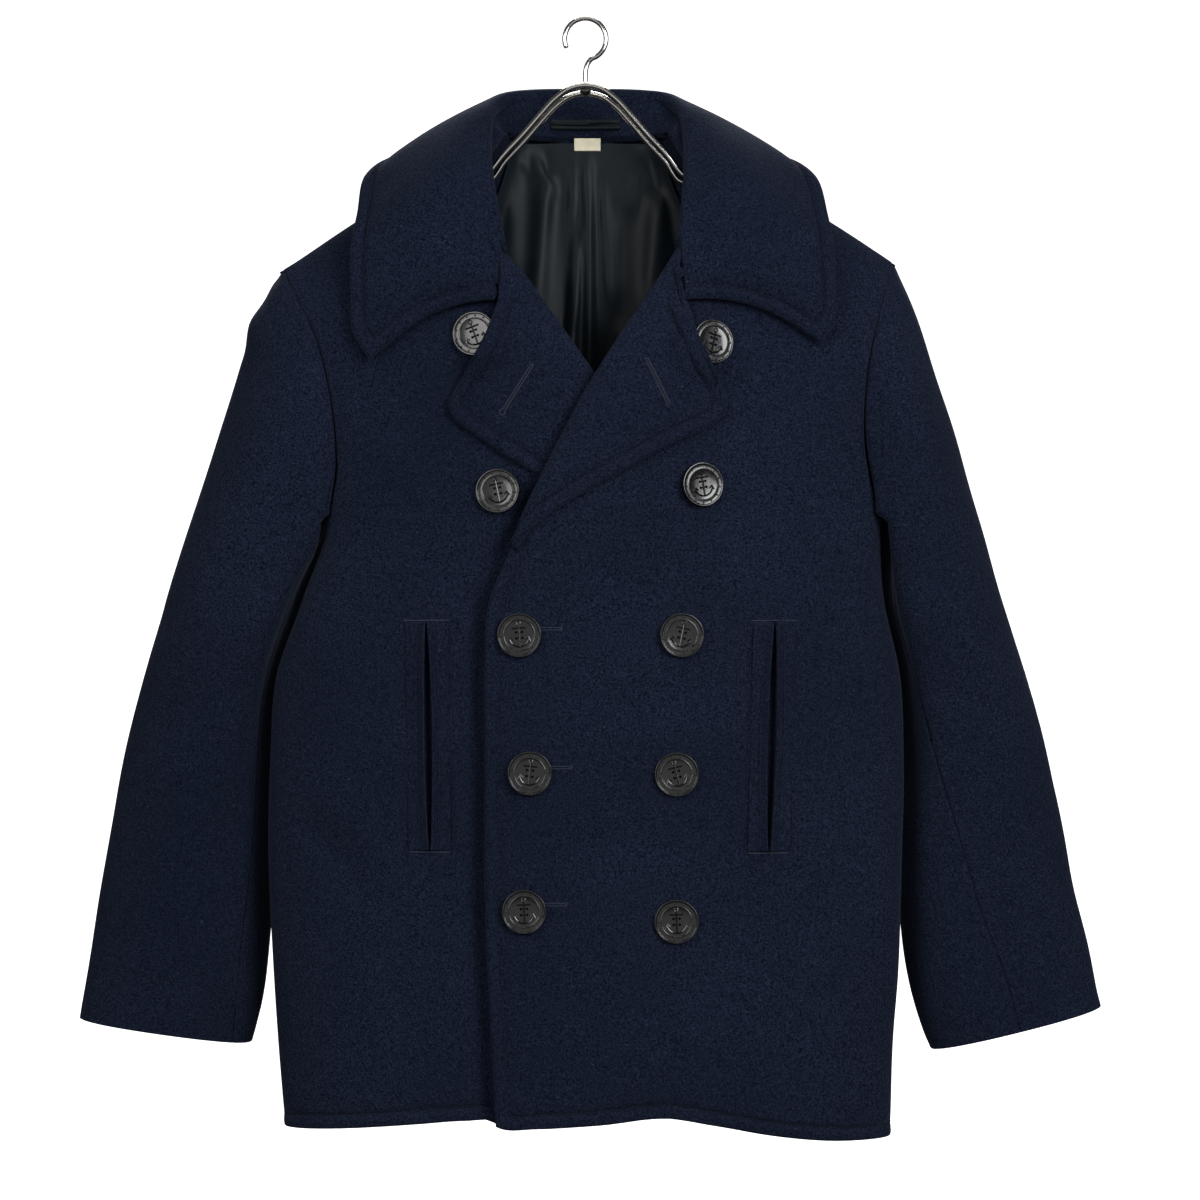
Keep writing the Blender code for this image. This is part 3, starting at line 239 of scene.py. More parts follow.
# Smooth curve through the rows of a table, read at one place or many.
def curve(knots, values, at):
    knots, values, at = np.asarray(knots, float), np.asarray(values, float), np.asarray(at, float)
    steps = np.diff(knots)
    slopes = (np.diff(values, axis=0).T / steps).T
    tangents = np.empty_like(values)
    tangents[0], tangents[-1] = slopes[0], slopes[-1]
    weight = (steps[1:] / (steps[1:] + steps[:-1])).reshape((-1,) + (1,) * (values.ndim - 1))
    tangents[1:-1] = slopes[:-1] * weight + slopes[1:] * (1 - weight)
    i = np.clip(np.searchsorted(knots, at, side="right") - 1, 0, len(steps) - 1)
    span = steps[i]
    t = np.clip((at - knots[i]) / span, 0, 1)
    if values.ndim > 1:
        span, t = span[..., None], t[..., None]
    start = ((2 * t ** 3 - 3 * t ** 2 + 1) * values[i]
             + (t ** 3 - 2 * t ** 2 + t) * span * tangents[i])
    end = (3 * t ** 2 - 2 * t ** 3) * values[i + 1] + (t ** 3 - t ** 2) * span * tangents[i + 1]
    return start + end


# Point at share s of a curve from start to end with these directions at its ends.
def hermite(s, start, end, leave, arrive):
    return ((2 * s ** 3 - 3 * s ** 2 + 1) * start + (s ** 3 - 2 * s ** 2 + s) * leave
            + (3 * s ** 2 - 2 * s ** 3) * end + (s ** 3 - s ** 2) * arrive)


def smooth(low, high, value):
    t = np.clip((np.asarray(value, float) - low) / (high - low), 0, 1)
    return t * t * (3 - 2 * t)


def unit(vectors):
    return vectors / np.linalg.norm(vectors, axis=-1, keepdims=True)


# Unit normals of a grid of points, rows first; closed joins the last column to the first.
def gridNormals(points, closed=False):
    rows = np.gradient(points, axis=0)
    if closed:
        columns = np.roll(points, -1, axis=1) - np.roll(points, 1, axis=1)
    else:
        columns = np.gradient(points, axis=1)
    return unit(np.cross(columns, rows))


def bodySection(height):
    table = np.array([row[1:] for row in bodySections], float)
    return curve(column(bodySections, 0), table, np.asarray(height, float))


def ridgeHeight(across):
    return curve(column(shoulderRidge, 0), column(shoulderRidge, 1), across)


# How much of the body's depth is left this far under the shoulder line.
def shoulderShare(across, height):
    t = np.clip((ridgeHeight(across) - height) / shoulderDrop, 0, 1)
    return (1 - (1 - t) ** 2.2) ** 0.75


# Place round the section: 0 at the centre front, 1 at the side seam, signed left to right.
def girthAt(across, height):
    section = bodySection(height)
    half = np.where(np.asarray(across) < 0, section[..., 0], section[..., 1])
    share = np.clip(np.abs(across) / half, 0, 1)
    return np.sign(across) * np.arcsin(share ** (sectionPower / 2)) / (math.pi / 2)


def foldDepth(folds, across, height):
    depth = np.zeros(np.broadcast(across, height).shape)
    for x1, z1, x2, z2, halfWidth, fold in folds:
        run = np.array([x2 - x1, z2 - z1], float)
        t = np.clip(((across - x1) * run[0] + (height - z1) * run[1]) / run.dot(run), 0, 1)
        away = np.hypot(across - x1 - t * run[0], height - z1 - t * run[1]) / halfWidth
        depth += fold * np.exp(-away ** 2 * 2) * (1 - 0.5 * np.abs(2 * t - 1))
    return depth


def liftOf(across, height):
    lift = curve(column(overlapLift, 0), column(overlapLift, 1), height)
    return lift * (1 - smooth(liftFull, liftNone, across))


# Outer surface of the cloth. girth runs on from 1 at the side to 2 at the centre back.
def bodyPoint(girth, height, overlap=False):
    girth, height = np.broadcast_arrays(np.asarray(girth, float), np.asarray(height, float))
    section = bodySection(height)
    half = np.where(girth < 0, section[..., 0], section[..., 1])
    angle = np.clip(np.abs(girth), 0, 2) * math.pi / 2
    sine, cosine = np.abs(np.sin(angle)), np.abs(np.cos(angle))
    across = np.sign(girth) * half * sine ** (2 / sectionPower)
    inward = cosine ** (2 / sectionPower)
    front = -sideForward - (section[..., 2] - sideForward) * inward
    back = -sideForward + (section[..., 3] + sideForward) * inward
    isFront = np.abs(girth) <= 1
    depth = np.where(isFront, front, back) * shoulderShare(across, height)
    depth += np.where(isFront, foldDepth(frontFolds, across, height),
                      -foldDepth(backFolds, across, height)) * inward
    if overlap:
        depth = depth - liftOf(across, height)
    return np.stack([across, depth, height], axis=-1)


def bodyNormal(girth, height, overlap=False):
    step, rise = 0.004, 1.0
    low, high = np.minimum(np.abs(girth) + step, 2), np.maximum(np.abs(girth) - step, 0)
    sign = np.where(np.asarray(girth) < 0, -1.0, 1.0)
    round_ = bodyPoint(sign * low, height, overlap) - bodyPoint(sign * high, height, overlap)
    up = bodyPoint(girth, height + rise, overlap) - bodyPoint(girth, height - rise, overlap)
    return unit(np.cross(round_, up)) * sign[..., None]


# Depth of the front at a place on the front view.
def frontSurface(across, height, overlap=False):
    return bodyPoint(girthAt(across, height), height, overlap)[..., 1]


def backSurface(across, height):
    girth = girthAt(across, height)
    return bodyPoint(np.where(girth < 0, -2 - girth, 2 - girth), height)[..., 1]


# Outer edge of a panel: up the side seam, then round the armhole; girth and height.
def sideEdge(side, armhole, rise):
    hemEnd = curve(column(hemLine, 0), column(hemLine, 1), 250.0 * side)
    height = np.where(rise < 0.6, hemEnd + (armhole[0][2] - hemEnd) * rise / 0.6,
                      curve(column(armhole, 0), column(armhole, 2), rise))
    across = curve(column(armhole, 0), column(armhole, 1), rise)
    girth = np.where(rise < 0.6, side, girthAt(across, height))
    return girth, height


# Girth and height over a panel. Rows run from the inner edge to the outer one.
def panelGrid(inner, outer, rises, shares, topHeight, bottomHeight):
    rise, share = np.meshgrid(rises, shares, indexing="ij")
    innerGirth, innerHeight = (value[:, None] for value in inner)
    outerGirth, outerHeight = (value[:, None] for value in outer)
    girth = innerGirth + (outerGirth - innerGirth) * share
    height = innerHeight + (outerHeight - innerHeight) * share
    across = bodyPoint(girth, height)[..., 0]
    top = topHeight(across[-1]) - height[-1]
    bottom = bottomHeight(across[0]) - height[0]
    return girth, height + top * rise ** 6 + bottom * (1 - rise) ** 4, share, rise


# Outer points, normals and wall of one front, from its front edge to its side.
def frontPanel(edge, side, armhole, rises, shares, overlap):
    innerHeight = curve(column(edge, 0), column(edge, 2), rises)
    innerAcross = curve(column(edge, 0), column(edge, 1), rises)
    inner = girthAt(innerAcross, innerHeight), innerHeight
    hem = lambda across: curve(column(hemLine, 0), column(hemLine, 1), across)
    outer = sideEdge(side, armhole, rises)
    girth, height, share, rise = panelGrid(inner, outer, rises, shares, ridgeHeight, hem)
    points, normals = bodyPoint(girth, height, overlap), bodyNormal(girth, height, overlap)
    normals[-1, :, 1] = 0
    normals = unit(normals)
    points[-1, :, 1] = -seamGap / 2 - (liftOf(points[-1, :, 0], height[-1]) if overlap else 0)
    points[:, -1, 1] -= np.where(rises <= 0.6, seamGap / 2, 0)
    turned = np.abs(points[..., 0] - points[:, :1, 0])
    double = np.maximum(1 - smooth(frontEdgeTurn * 0.8, frontEdgeTurn, turned) * 1.0,
                        1 - smooth(hemTurn * 0.6, hemTurn, height - height[0]))
    double = double * (1 - smooth(0.50, 0.58, rise))
    return points, normals, woolWall + (doubleWall - woolWall) * double


def backPanel(side, armhole, rises, shares):
    innerHeight = curve((0, 0.6, 1), (-901, -410, neckSeamHeight), rises)
    inner = np.full(len(rises), 2.0 * side), innerHeight
    outerGirth, outerHeight = sideEdge(side, armhole, rises)
    outer = np.where(rises < 0.6, outerGirth, 2 * side - outerGirth), outerHeight
    top = lambda across: np.minimum(ridgeHeight(across), neckSeamHeight)
    hemEnd = outerHeight[0]
    hem = lambda across: -901 + (hemEnd + 901) * smooth(60, 230, np.abs(across))
    girth, height, share, rise = panelGrid(inner, outer, rises, shares, top, hem)
    points, normals = bodyPoint(girth, height), bodyNormal(girth, height)
    onRidge = np.abs(points[-1, :, 0]) > 74
    normals[-1, onRidge, 1] = 0
    normals[:, 0, 0] = 0
    normals = unit(normals)
    points[-1, onRidge, 1] = seamGap / 2
    points[:, -1, 1] += np.where(rises <= 0.6, seamGap / 2, 0)
    points[:, 0, 0] = side * seamGap / 2
    double = 1 - smooth(hemTurn * 0.6, hemTurn, height - height[0])
    return points, normals, woolWall + (doubleWall - woolWall) * double


# The rise of a lapel over the top button that it half covers.
def overButtons(x, z, over):
    rise = np.zeros(np.broadcast(x, z).shape)
    for _, across, height, _, _ in (buttons[0], buttons[5]):
        away = np.hypot(x - across, z - height)
        rise += buttonBump * (1 - smooth(buttonWidth * 0.52, buttonWidth * 1.15, away))
    return np.where(over > 3, rise, 0)


# Outer points of a turned lapel. across runs through the rows of lapelRoll.
def lapelGrid(table, side, along, across, overlap):
    rows = curve(np.arange(len(table)), np.array(table, float), along)
    roll = curve(np.arange(len(lapelRoll)), np.array(lapelRoll, float), across)
    foldX, foldZ, edgeX, edgeZ, swell = (rows[:, None, i] for i in range(5))
    reach, share, over = (roll[None, :, i] for i in range(3))
    width = np.hypot(edgeX - foldX, edgeZ - foldZ)
    fit = np.clip(width / 30, 0.1, 1)
    run = (curve(np.arange(len(table)), np.array(table, float), along + 0.05)
           - curve(np.arange(len(table)), np.array(table, float), along - 0.05))
    run = unit(run[:, :2])
    gorge = (1 - smooth(0, 2, along))[:, None]
    outX = -run[:, 1:2] * side * (1 - gorge) + (edgeX - foldX) / width * gorge
    outZ = run[:, :1] * side * (1 - gorge) + (edgeZ - foldZ) / width * gorge
    x = foldX + outX * reach * fit + (edgeX - foldX) * share
    z = foldZ + outZ * reach * fit + (edgeZ - foldZ) * share
    bump = overButtons(x, z, over)
    over = np.where(over < 0, over, over * swell)
    points = bodyPoint(girthAt(x, z), z, overlap)
    thick = np.clip(over - 1.6, 1.2, doubleWall)
    thin = smooth(2.5, 5.5, across)[None, :]
    thick = np.minimum(2.4, 0.9 + 1.5 * fit) * (1 - thin) + thick * thin
    points = points + bodyNormal(girthAt(x, z), z, overlap) * over[..., None]
    points[..., 1] -= bump
    return points, thick


# Moves points that would touch the body out in front of it, or out behind it.
def clearOfBody(points, clearance):
    x, y, z = points[..., 0], points[..., 1], points[..., 2]
    below = z < ridgeHeight(x) + 1
    front = np.where(x > 0, frontSurface(x, z, True), frontSurface(x, z)) - clearance
    back = backSurface(x, z) + clearance
    y = np.where(below & (y < 0), np.minimum(y, front), y)
    y = np.where(below & (y >= 0), np.maximum(y, back), y)
    return np.stack([x, y, z], axis=-1)


# Points of the collar: stations run from the left end to the right, across from foot to edge.
def collarGrid(stations, across):
    rows = np.array(collarLeft + collarRight[-2::-1], float)
    at = curve(np.arange(len(rows)), rows, stations)
    foot, fold, middle, edge = (at[:, i * 3:i * 3 + 3] for i in range(4))
    crown = at[:, 12:13]
    along = unit(np.gradient(fold, axis=0))
    leaf = unit(middle - fold)
    leaf = unit(leaf - (leaf * along).sum(axis=1, keepdims=True) * along)
    up = unit(np.cross(along, leaf))
    ends = np.minimum(stations, len(rows) - 1 - stations)
    straight = np.clip(ends, 0, 1)[:, None]
    stand, start = fold - up * foldRadius, fold + up * foldRadius
    first, last = middle - start, edge - middle
    mean = (first + last) / 2
    points = np.empty((len(stations), len(across), 3))
    for j, t in enumerate(across):
        if t < footShare:
            s = t / footShare
            points[:, j] = foot + (stand - foot) * s
        elif t < foldShare:
            turn = (t - footShare) / (foldShare - footShare) * math.pi
            points[:, j] = fold - foldRadius * (up * math.cos(turn) + leaf * math.sin(turn))
        else:
            if t < middleShare:
                s, a, b = (t - foldShare) / (middleShare - foldShare), start, middle
                leave, arrive = first, first + (mean - first) * straight
            else:
                s, a, b = (t - middleShare) / (1 - middleShare), middle, edge
                leave, arrive = last + (mean - last) * straight, last
            points[:, j] = hermite(s, a, b, leave, arrive)
            whole = (t - foldShare) / (1 - foldShare)
            points[:, j] += up * crown * math.sin(math.pi * whole)
            if t > middleShare:
                points[:, j, 2] += (endBow * (1 - straight) * math.sin(math.pi * s))[:, 0]
    onLeaf = np.asarray(across) > foldShare
    points[:, onLeaf] = clearOfBody(points[:, onLeaf], collarWall + 1.2)
    return points


# The armhole seam, from the underarm up the front, over the shoulder and down the back.
def armholeLoop(side, around):
    front, back = ((armholeLeftFront, armholeLeftBack) if side < 0
                   else (armholeRightFront, armholeRightBack))
    around = np.asarray(around, float) % 360
    half = 1 - np.abs(around - 180) / 180
    rise = 0.6 + 0.4 * half
    inFront = around <= 180
    x, z = (np.where(inFront, curve(column(front, 0), column(front, i), rise),
                     curve(column(back, 0), column(back, i), rise)) for i in (1, 2))
    girth = np.where(half < 1e-6, side, girthAt(x, z))
    girth = np.where(inFront, girth, 2 * side - girth)
    points, out = bodyPoint(girth, z), bodyNormal(girth, z)
    onTop = half > 0.999
    points[onTop, 1] = 0
    out[onTop, 1] = 0
    return points, unit(out)


def sleeveRing(side, table, around, along):
    rows = curve(column(table, 0), np.array([row[1:] for row in table], float), along)
    tilt = np.radians(rows[..., 5])
    cosine, sine = np.cos(np.radians(around)), np.sin(np.radians(around))
    power = 2 / sleeveSquare
    width = np.sign(cosine) * np.abs(cosine) ** power * rows[..., 3]
    depth = -np.sign(sine) * np.abs(sine) ** power * rows[..., 4]
    x = rows[..., 0] - side * np.cos(tilt) * width
    z = rows[..., 2] - np.sin(tilt) * width
    down = np.stack([side * np.sin(tilt), 0 * tilt, -np.cos(tilt)], axis=-1)
    return np.stack([x, rows[..., 1] + depth, z], axis=-1), down


# A sleeve that would sink into the body's side lies against it instead.
def besideBody(points, side):
    x, y, z = points[..., 0], points[..., 1], points[..., 2]
    section = bodySection(z)
    half = section[..., 0 if side < 0 else 1] + sleeveClear
    depth = np.where(y < -sideForward, section[..., 2] - sideForward,
                     section[..., 3] + sideForward) + sleeveClear
    inside = (np.abs(x) / half) ** sectionPower + (np.abs(y + sideForward) / depth) ** sectionPower
    inside = np.maximum(inside, 0.05)
    scale = ((inside ** contactSoft + 1) ** (1 / contactSoft) / inside) ** (1 / sectionPower)
    scale = 1 + (scale - 1) * smooth(-404, -412, z)
    return np.stack([x * scale, -sideForward + (y + sideForward) * scale, z], axis=-1)


# Outer surface of a sleeve: around in degrees, along from the armhole seam to the cuff.
def sleevePoint(side, around, along):
    table = sleeveLeft if side < 0 else sleeveRight
    around, along = np.broadcast_arrays(np.asarray(around, float), np.asarray(along, float))
    capEnd = table[0][0]
    half = 1 - np.abs(around % 360 - 180) / 180
    start, out = armholeLoop(side, around)
    run = armholeLoop(side, around + 1)[0] - armholeLoop(side, around - 1)[0]
    intoBody = unit(np.cross(out, run)) * side
    start = start - intoBody * seamGap * 2
    start[..., 0] += side * 2.0 * np.clip(1 - half * 6, 0, 1)
    ring, down = sleeveRing(side, table, around, np.maximum(along, capEnd))
    inFront = np.where(around % 360 <= 180, -1, 1)
    leave = unit(np.stack([side * (0.38 + 0.10 * half), inFront * 0.3 * np.sin(math.pi * half),
                           -0.93 + 0.03 * half], axis=-1))
    reach = np.linalg.norm(ring - start, axis=-1)[..., None]
    s = np.clip(along / capEnd, 0, 1)[..., None]
    cap = hermite(s, start, ring, leave * reach * (0.45 + 0.3 * half[..., None]), down * reach)
    points = np.where((along < capEnd)[..., None], cap, ring)
    return besideBody(points, side), intoBody


def sleeveNormals(side, around, along, intoBody):
    step, reach = 1.0, 0.004
    round_ = sleevePoint(side, around + step, along)[0] - sleevePoint(side, around - step, along)[0]
    low, high = np.minimum(along + reach, 1), np.maximum(along - reach, 0)
    down = sleevePoint(side, around, low)[0] - sleevePoint(side, around, high)[0]
    normals = unit(np.cross(down, round_)) * side
    into = (normals * -intoBody).sum(axis=-1, keepdims=True)
    atSeam = (along < 1e-6)[..., None] & (into > 0)
    return unit(np.where(atSeam, normals + into * intoBody, normals))


# The upper or the under sleeve, between the front seam and the back seam.
def sleevePanel(side, upper, shares, alongs):
    table = sleeveLeft if side < 0 else sleeveRight
    share, along = np.meshgrid(shares, alongs, indexing="xy")
    seam = curve(column(table, 0), column(table, 7), np.maximum(along, table[0][0]))
    seam = frontSeam + (seam - frontSeam) * smooth(0, table[0][0], along)
    first, last = (seam, backSeam) if upper else (backSeam, seam + 360)
    around = first + (last - first) * share
    points, intoBody = sleevePoint(side, around, along)
    normals = sleeveNormals(side, around, along, intoBody)
    for place, sign in ((0, 1), (-1, -1)):
        run = sleevePoint(side, around[:, place] + 1, along[:, place])[0] - points[:, place]
        points[:, place] += unit(run) * sign * seamGap
    return points, normals


# Centre of a button's under side on the cloth, and its axes: right, up and outward.
def buttonPlace(across, height, turn, tilt):
    overlap = across > -60
    girth = girthAt(across, height)
    out = bodyNormal(girth, height, overlap)
    centre = bodyPoint(girth, height, overlap)
    right = unit(np.cross(np.array([0.0, 0.0, 1.0]), out) * -1)
    tilted = math.radians(tilt)
    out, right = (out * math.cos(tilted) + right * math.sin(tilted),
                  right * math.cos(tilted) - out * math.sin(tilted))
    up = np.cross(right, out) * -1
    turned = math.radians(turn)
    right, up = (right * math.cos(turned) + up * math.sin(turned),
                 up * math.cos(turned) - right * math.sin(turned))
    return centre, right, up, out


# The lining hangs just inside the back, with a pleat down its middle and soft folds beside it.
def liningPoint(across, height):
    across, height = np.broadcast_arrays(np.asarray(across, float), np.asarray(height, float))
    girth = girthAt(across, height)
    girth = np.where(girth < 0, -2 - girth, 2 - girth)
    away = woolWall + 2.4 + liningWall + 4 * smooth(-140, -220, height)
    points = bodyPoint(girth, height) - bodyNormal(girth, height) * away[..., None]
    fade = smooth(-94, -150, height)
    for centre, halfWidth, fold in liningFolds:
        lean = centre * (1 + 0.0004 * (-96 - height))
        points[..., 1] -= fold * fade * np.exp(-((across - lean) / halfWidth) ** 2)
    return points


# ridges (+) and troughs (-): two ends, half width, height; fronts and back as seen
# from the front
creases = {
    "front": (
        (-236, -640, -178, -716, 15, -2.6), (-226, -668, -168, -742, 12, 2.2),
        (-205, -712, -150, -806, 22, 1.6),
        (-30, -556, 118, -548, 16, -1.5), (-22, -580, 96, -592, 18, 1.4),
        (-10, -664, 112, -660, 17, -1.5),
        (10, -690, 120, -700, 20, 1.2), (-20, -452, 60, -436, 20, 1.1),
        (110, -380, 205, -300, 26, 1.4),
        (95, -420, 190, -372, 22, -1.3), (-110, -440, -190, -360, 24, -1.4),
        (-125, -400, -198, -318, 22, 1.3),
        (180, -560, 243, -705, 20, 1.8), (196, -640, 238, -800, 16, -1.6),
        (-150, -560, -224, -500, 24, 1.5),
        (-172, -760, -214, -880, 24, 1.7), (-120, -742, -142, -880, 26, -1.5),
        (98, -770, 112, -890, 28, 1.6),
        (30, -790, 36, -886, 24, -1.2), (168, -760, 190, -900, 26, -1.5),
        (-84, -486, -98, -640, 12, -1.2),
        (-86, -650, -92, -860, 12, -1.2),
    ),
    "back": (
        (-150, -260, -120, -560, 26, 2.2), (-60, -300, -40, -620, 34, -1.6),
        (150, -270, 118, -600, 28, 2.2),
        (60, -330, 48, -640, 30, -1.6), (-216, -470, -120, -552, 22, -2.2),
        (-224, -520, -130, -640, 20, 1.8),
        (222, -480, 126, -566, 22, -2.2), (226, -530, 138, -650, 20, 1.8),
        (-180, -700, -150, -880, 26, 1.8),
        (-90, -690, -84, -880, 28, -1.5), (94, -680, 90, -880, 28, -1.5),
        (182, -700, 158, -890, 26, 1.8),
        (-40, -200, 40, -206, 22, 1.2), (-120, -170, -50, -190, 20, -1.0),
        (50, -188, 122, -172, 20, -1.0),
    ),
    "lining": (
        (1, -104, -3, -172, 2.6, 1.6), (-3, -172, -12, -262, 3.0, 2.6),
        (-12, -262, -20, -380, 4.0, 3.0),
        (-9, -150, -20, -262, 4.0, -2.0), (-32, -128, -44, -250, 6.0, 2.4),
        (-44, -250, -40, -330, 7.0, 2.6),
        (-58, -104, -44, -122, 4.0, 1.2), (-46, -104, -26, -136, 4.5, 1.7),
        (-34, -100, -30, -128, 3.5, -1.2),
        (14, -128, 22, -232, 5.0, 2.2), (22, -232, 14, -330, 7.0, -2.6),
        (44, -112, 36, -150, 5.0, 1.8),
        (52, -106, 60, -140, 6.0, -1.8), (34, -150, 30, -260, 9.0, -2.2),
        (66, -130, 52, -220, 8.0, 2.0),
        (-70, -150, -62, -230, 9.0, -1.8), (-24, -118, 2, -120, 4.0, 0.8),
    ),
    # degrees round the sleeve and share along it at both ends
    "left": (
        (172, .01, 184, .12, 24, 7.0), (70, .30, 150, .44, 16, -2.4), (60, .37, 140, .50, 15, 2.2),
        (50, .46, 120, .57, 15, -2.0),
        (230, .34, 300, .46, 18, 2.0), (250, .46, 310, .56, 16, -2.2), (90, .60, 120, .86, 18, 1.8),
        (60, .66, 84, .94, 16, -1.6), (240, .62, 232, .90, 20, 1.6), (150, .12, 120, .30, 20, 1.6),
        (96, .10, 70, .26, 16, -1.6), (215, .12, 240, .30, 20, -1.6), (170, .50, 190, .80, 24, 1.2),
    ),
    "right": (
        (66, .32, 146, .42, 16, -2.2), (58, .40, 130, .52, 15, 2.2), (64, .50, 118, .58, 14, -2.0),
        (236, .36, 304, .48, 18, 2.0), (246, .48, 306, .60, 16, -2.0),
        (112, .62, 132, .90, 18, 1.6),
        (80, .68, 92, .95, 15, -1.4), (238, .60, 228, .92, 20, 1.6), (146, .10, 116, .28, 20, 1.8),
        (92, .08, 68, .24, 16, -1.6), (222, .10, 246, .28, 20, -1.6), (176, .54, 188, .84, 24, 1.2),
    ),
}
nearEdge = (0, 0.4, 1.0, 1.8, 3.0, 4.6)  # lines beside a cut edge, where the cloth rolls over
nearSewing = (6.4, 8.2, 9.4, 10.2, 10.7, 11.3, 11.9, 12.8, 14.2)  # and beside a row of topstitching


def liningDepth(x, z):
    return liningPoint(x, z)[..., 1]


# Ends of each crease as points in space.
def creaseEnds(kind):
    ends = []
    for a, b, c, d, halfWidth, rise in creases[kind]:
        if kind in ("left", "right"):
            side = -1 if kind == "left" else 1
            start, end = sleevePoint(side, a, b)[0], sleevePoint(side, c, d)[0]
        else:
            surface = {"front": frontSurface, "back": backSurface, "lining": liningDepth}[kind]
            start, end = np.array([a, surface(a, b), b]), np.array([c, surface(c, d), d])
        ends.append((start, end, halfWidth, rise))
    return ends


def creaseHeight(points, kind):
    total = np.zeros(points.shape[:-1])
    for start, end, halfWidth, rise in creaseEnds(kind) if kind else ():
        run = end - start
        t = np.clip(((points - start) @ run) / run.dot(run), 0, 1)
        away = np.linalg.norm(points - start - t[..., None] * run, axis=-1) / halfWidth
        ripple = 1 + 0.25 * np.sin(t * 9 + rise * 3)  # a crease is never even along its length
        total += (rise * (1.7 if kind == "lining" else 1) * ripple * np.exp(-away ** 1.7)
                  * np.sin(math.pi * (0.12 + 0.76 * t)) ** 0.8)
    return total


# Soft unevenness of hanging cloth.
def uneven(points, seed, amount):
    chance = np.random.default_rng(seed)
    total = np.zeros(points.shape[:-1])
    for k in range(7):
        wave = chance.normal(size=3) * np.array([1, 0.6, 0.7])
        wave *= 2 * math.pi / (chance.uniform(55, 190) * np.linalg.norm(wave))
        total += np.sin(points @ wave + chance.uniform(0, 6.28)) * chance.uniform(0.4, 1)
    return total * amount / 2.4


# Shares from 0 to 1 over a length, a cell apart, with closer lines beside both ends.
def edgeLines(length, cell=5.5, start=False, end=False):
    first, last = (np.array(nearEdge + (nearSewing if sewn else ()))
                   / length for sewn in (start, end))
    middle = np.linspace(first[-1], 1 - last[-1],
                         max(2, round(length * (1 - first[-1] - last[-1]) / cell)))
    return np.concatenate([first[:-1], middle, 1 - last[-2::-1]])


def awayFrom(points, line):
    flat = points.reshape(-1, 3)
    nearest = np.full(len(flat), 1e9)
    for a, b in zip(line[:-1], line[1:]):
        run = b - a
        t = np.clip((flat - a) @ run / max(run.dot(run), 1e-9), 0, 1)
        nearest = np.minimum(nearest, np.linalg.norm(flat - a - t[:, None] * run, axis=1))
    return nearest.reshape(points.shape[:-1])


def thinned(line):
    return line if len(line) < 30 else np.concatenate([line[:-1:3], line[-1:]])


# One closed mesh of an outer and an inner grid joined round their edges, with its cut as a UV map
# in metres.
def clothMesh(name, outer, inner, finish):
    rows, columns = outer.shape[:2]
    count = rows * columns
    index = np.arange(count).reshape(rows, columns)
    a, b, c, d = index[:-1, :-1], index[:-1, 1:], index[1:, 1:], index[1:, :-1]
    ring = np.concatenate([index[0, :-1], index[:-1, -1], index[-1, :0:-1], index[:0:-1, 0]])
    after = np.roll(ring, -1)
    faces = np.concatenate([np.stack([a, b, c, d], -1).reshape(-1, 4),
                            np.stack([d, c, b, a], -1).reshape(-1, 4) + count,
                            np.stack([after, ring, ring + count, after + count], -1)])
    vertices = np.concatenate([outer.reshape(-1, 3), inner.reshape(-1, 3)]) * 0.001
    mesh = bpy.data.meshes.new(name)
    mesh.from_pydata(vertices.tolist(), [], faces.tolist())
    piece = bpy.data.objects.new(name, mesh)
    bpy.context.scene.collection.objects.link(piece)
    mesh.shade_smooth()
    across = np.linalg.norm(np.diff(outer, axis=1), axis=2)
    down = np.linalg.norm(np.diff(outer, axis=0), axis=2)
    across = np.concatenate([np.zeros((rows, 1)), np.cumsum(across, axis=1)], axis=1)
    down = np.concatenate([np.zeros((1, columns)), np.cumsum(down, axis=0)], axis=0)
    flat = np.stack([across, down], -1).reshape(-1, 2) * 0.001
    corner = np.zeros(len(mesh.loops), np.int32)
    mesh.loops.foreach_get("vertex_index", corner)
    mesh.uv_layers.new(name="cut").uv.foreach_set("vector", flat[corner % count].ravel())
    mesh.materials.append(finish)
    edit = bmesh.new()
    edit.from_mesh(mesh)
    if edit.calc_volume(signed=True) < 0:
        bmesh.ops.reverse_faces(edit, faces=edit.faces)
    edit.to_mesh(mesh)
    edit.free()
    return piece


def declare(piece, nodes=(), cut=None):
    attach(piece, "root")
    if nodes:
        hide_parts(*nodes)
    return piece


stitchIn = 11.0  # of the topstitching from a free edge
topstitch = {"puff": 1.6, "pull": 1.9, "narrow": 1.4, "draw": 0.6, "wide": 5.0}
# a sewn edge turns down into its seam
seamTuck = {"roll": 1.9, "outer": 1.3, "inner": 4.5, "sink": 1.1}
sewing = {}  # rows of stitches for each sewn piece: places and outward directions


# The line on a piece at this distance in from a sewn edge of it.
def seamInside(points, normals, places, distance):
    flat, outward = points.reshape(-1, 3), normals.reshape(-1, 3)
    line = flat[places]
    along = unit(np.gradient(line, axis=0))
    middle = flat.mean(axis=0)
    kept = []
    for place, spot, run in zip(places, line, along):
        inward = unit(np.cross(outward[place], run))
        if inward.dot(middle - spot) < 0 and inward.dot(unit(middle - spot)) < -0.2:
            inward = -inward
        for sign in (1, -1):
            target = spot + sign * inward * distance
            near = np.argmin(((flat - target) ** 2).sum(axis=1))
            gap = target - flat[near]
            gap -= outward[near] * gap.dot(outward[near])
            if np.linalg.norm(gap) < 6:
                kept.append((target - outward[near] * (target - flat[near]).dot(outward[near]),
                             outward[near]))
                break
    places, outward = (np.array([row[i] for row in kept]) for i in (0, 1))
    clear = awayFrom(places, thinned(line)) > distance * 0.94
    return places[clear], outward[clear]


rimNames = ("foot", "top", "start", "end")


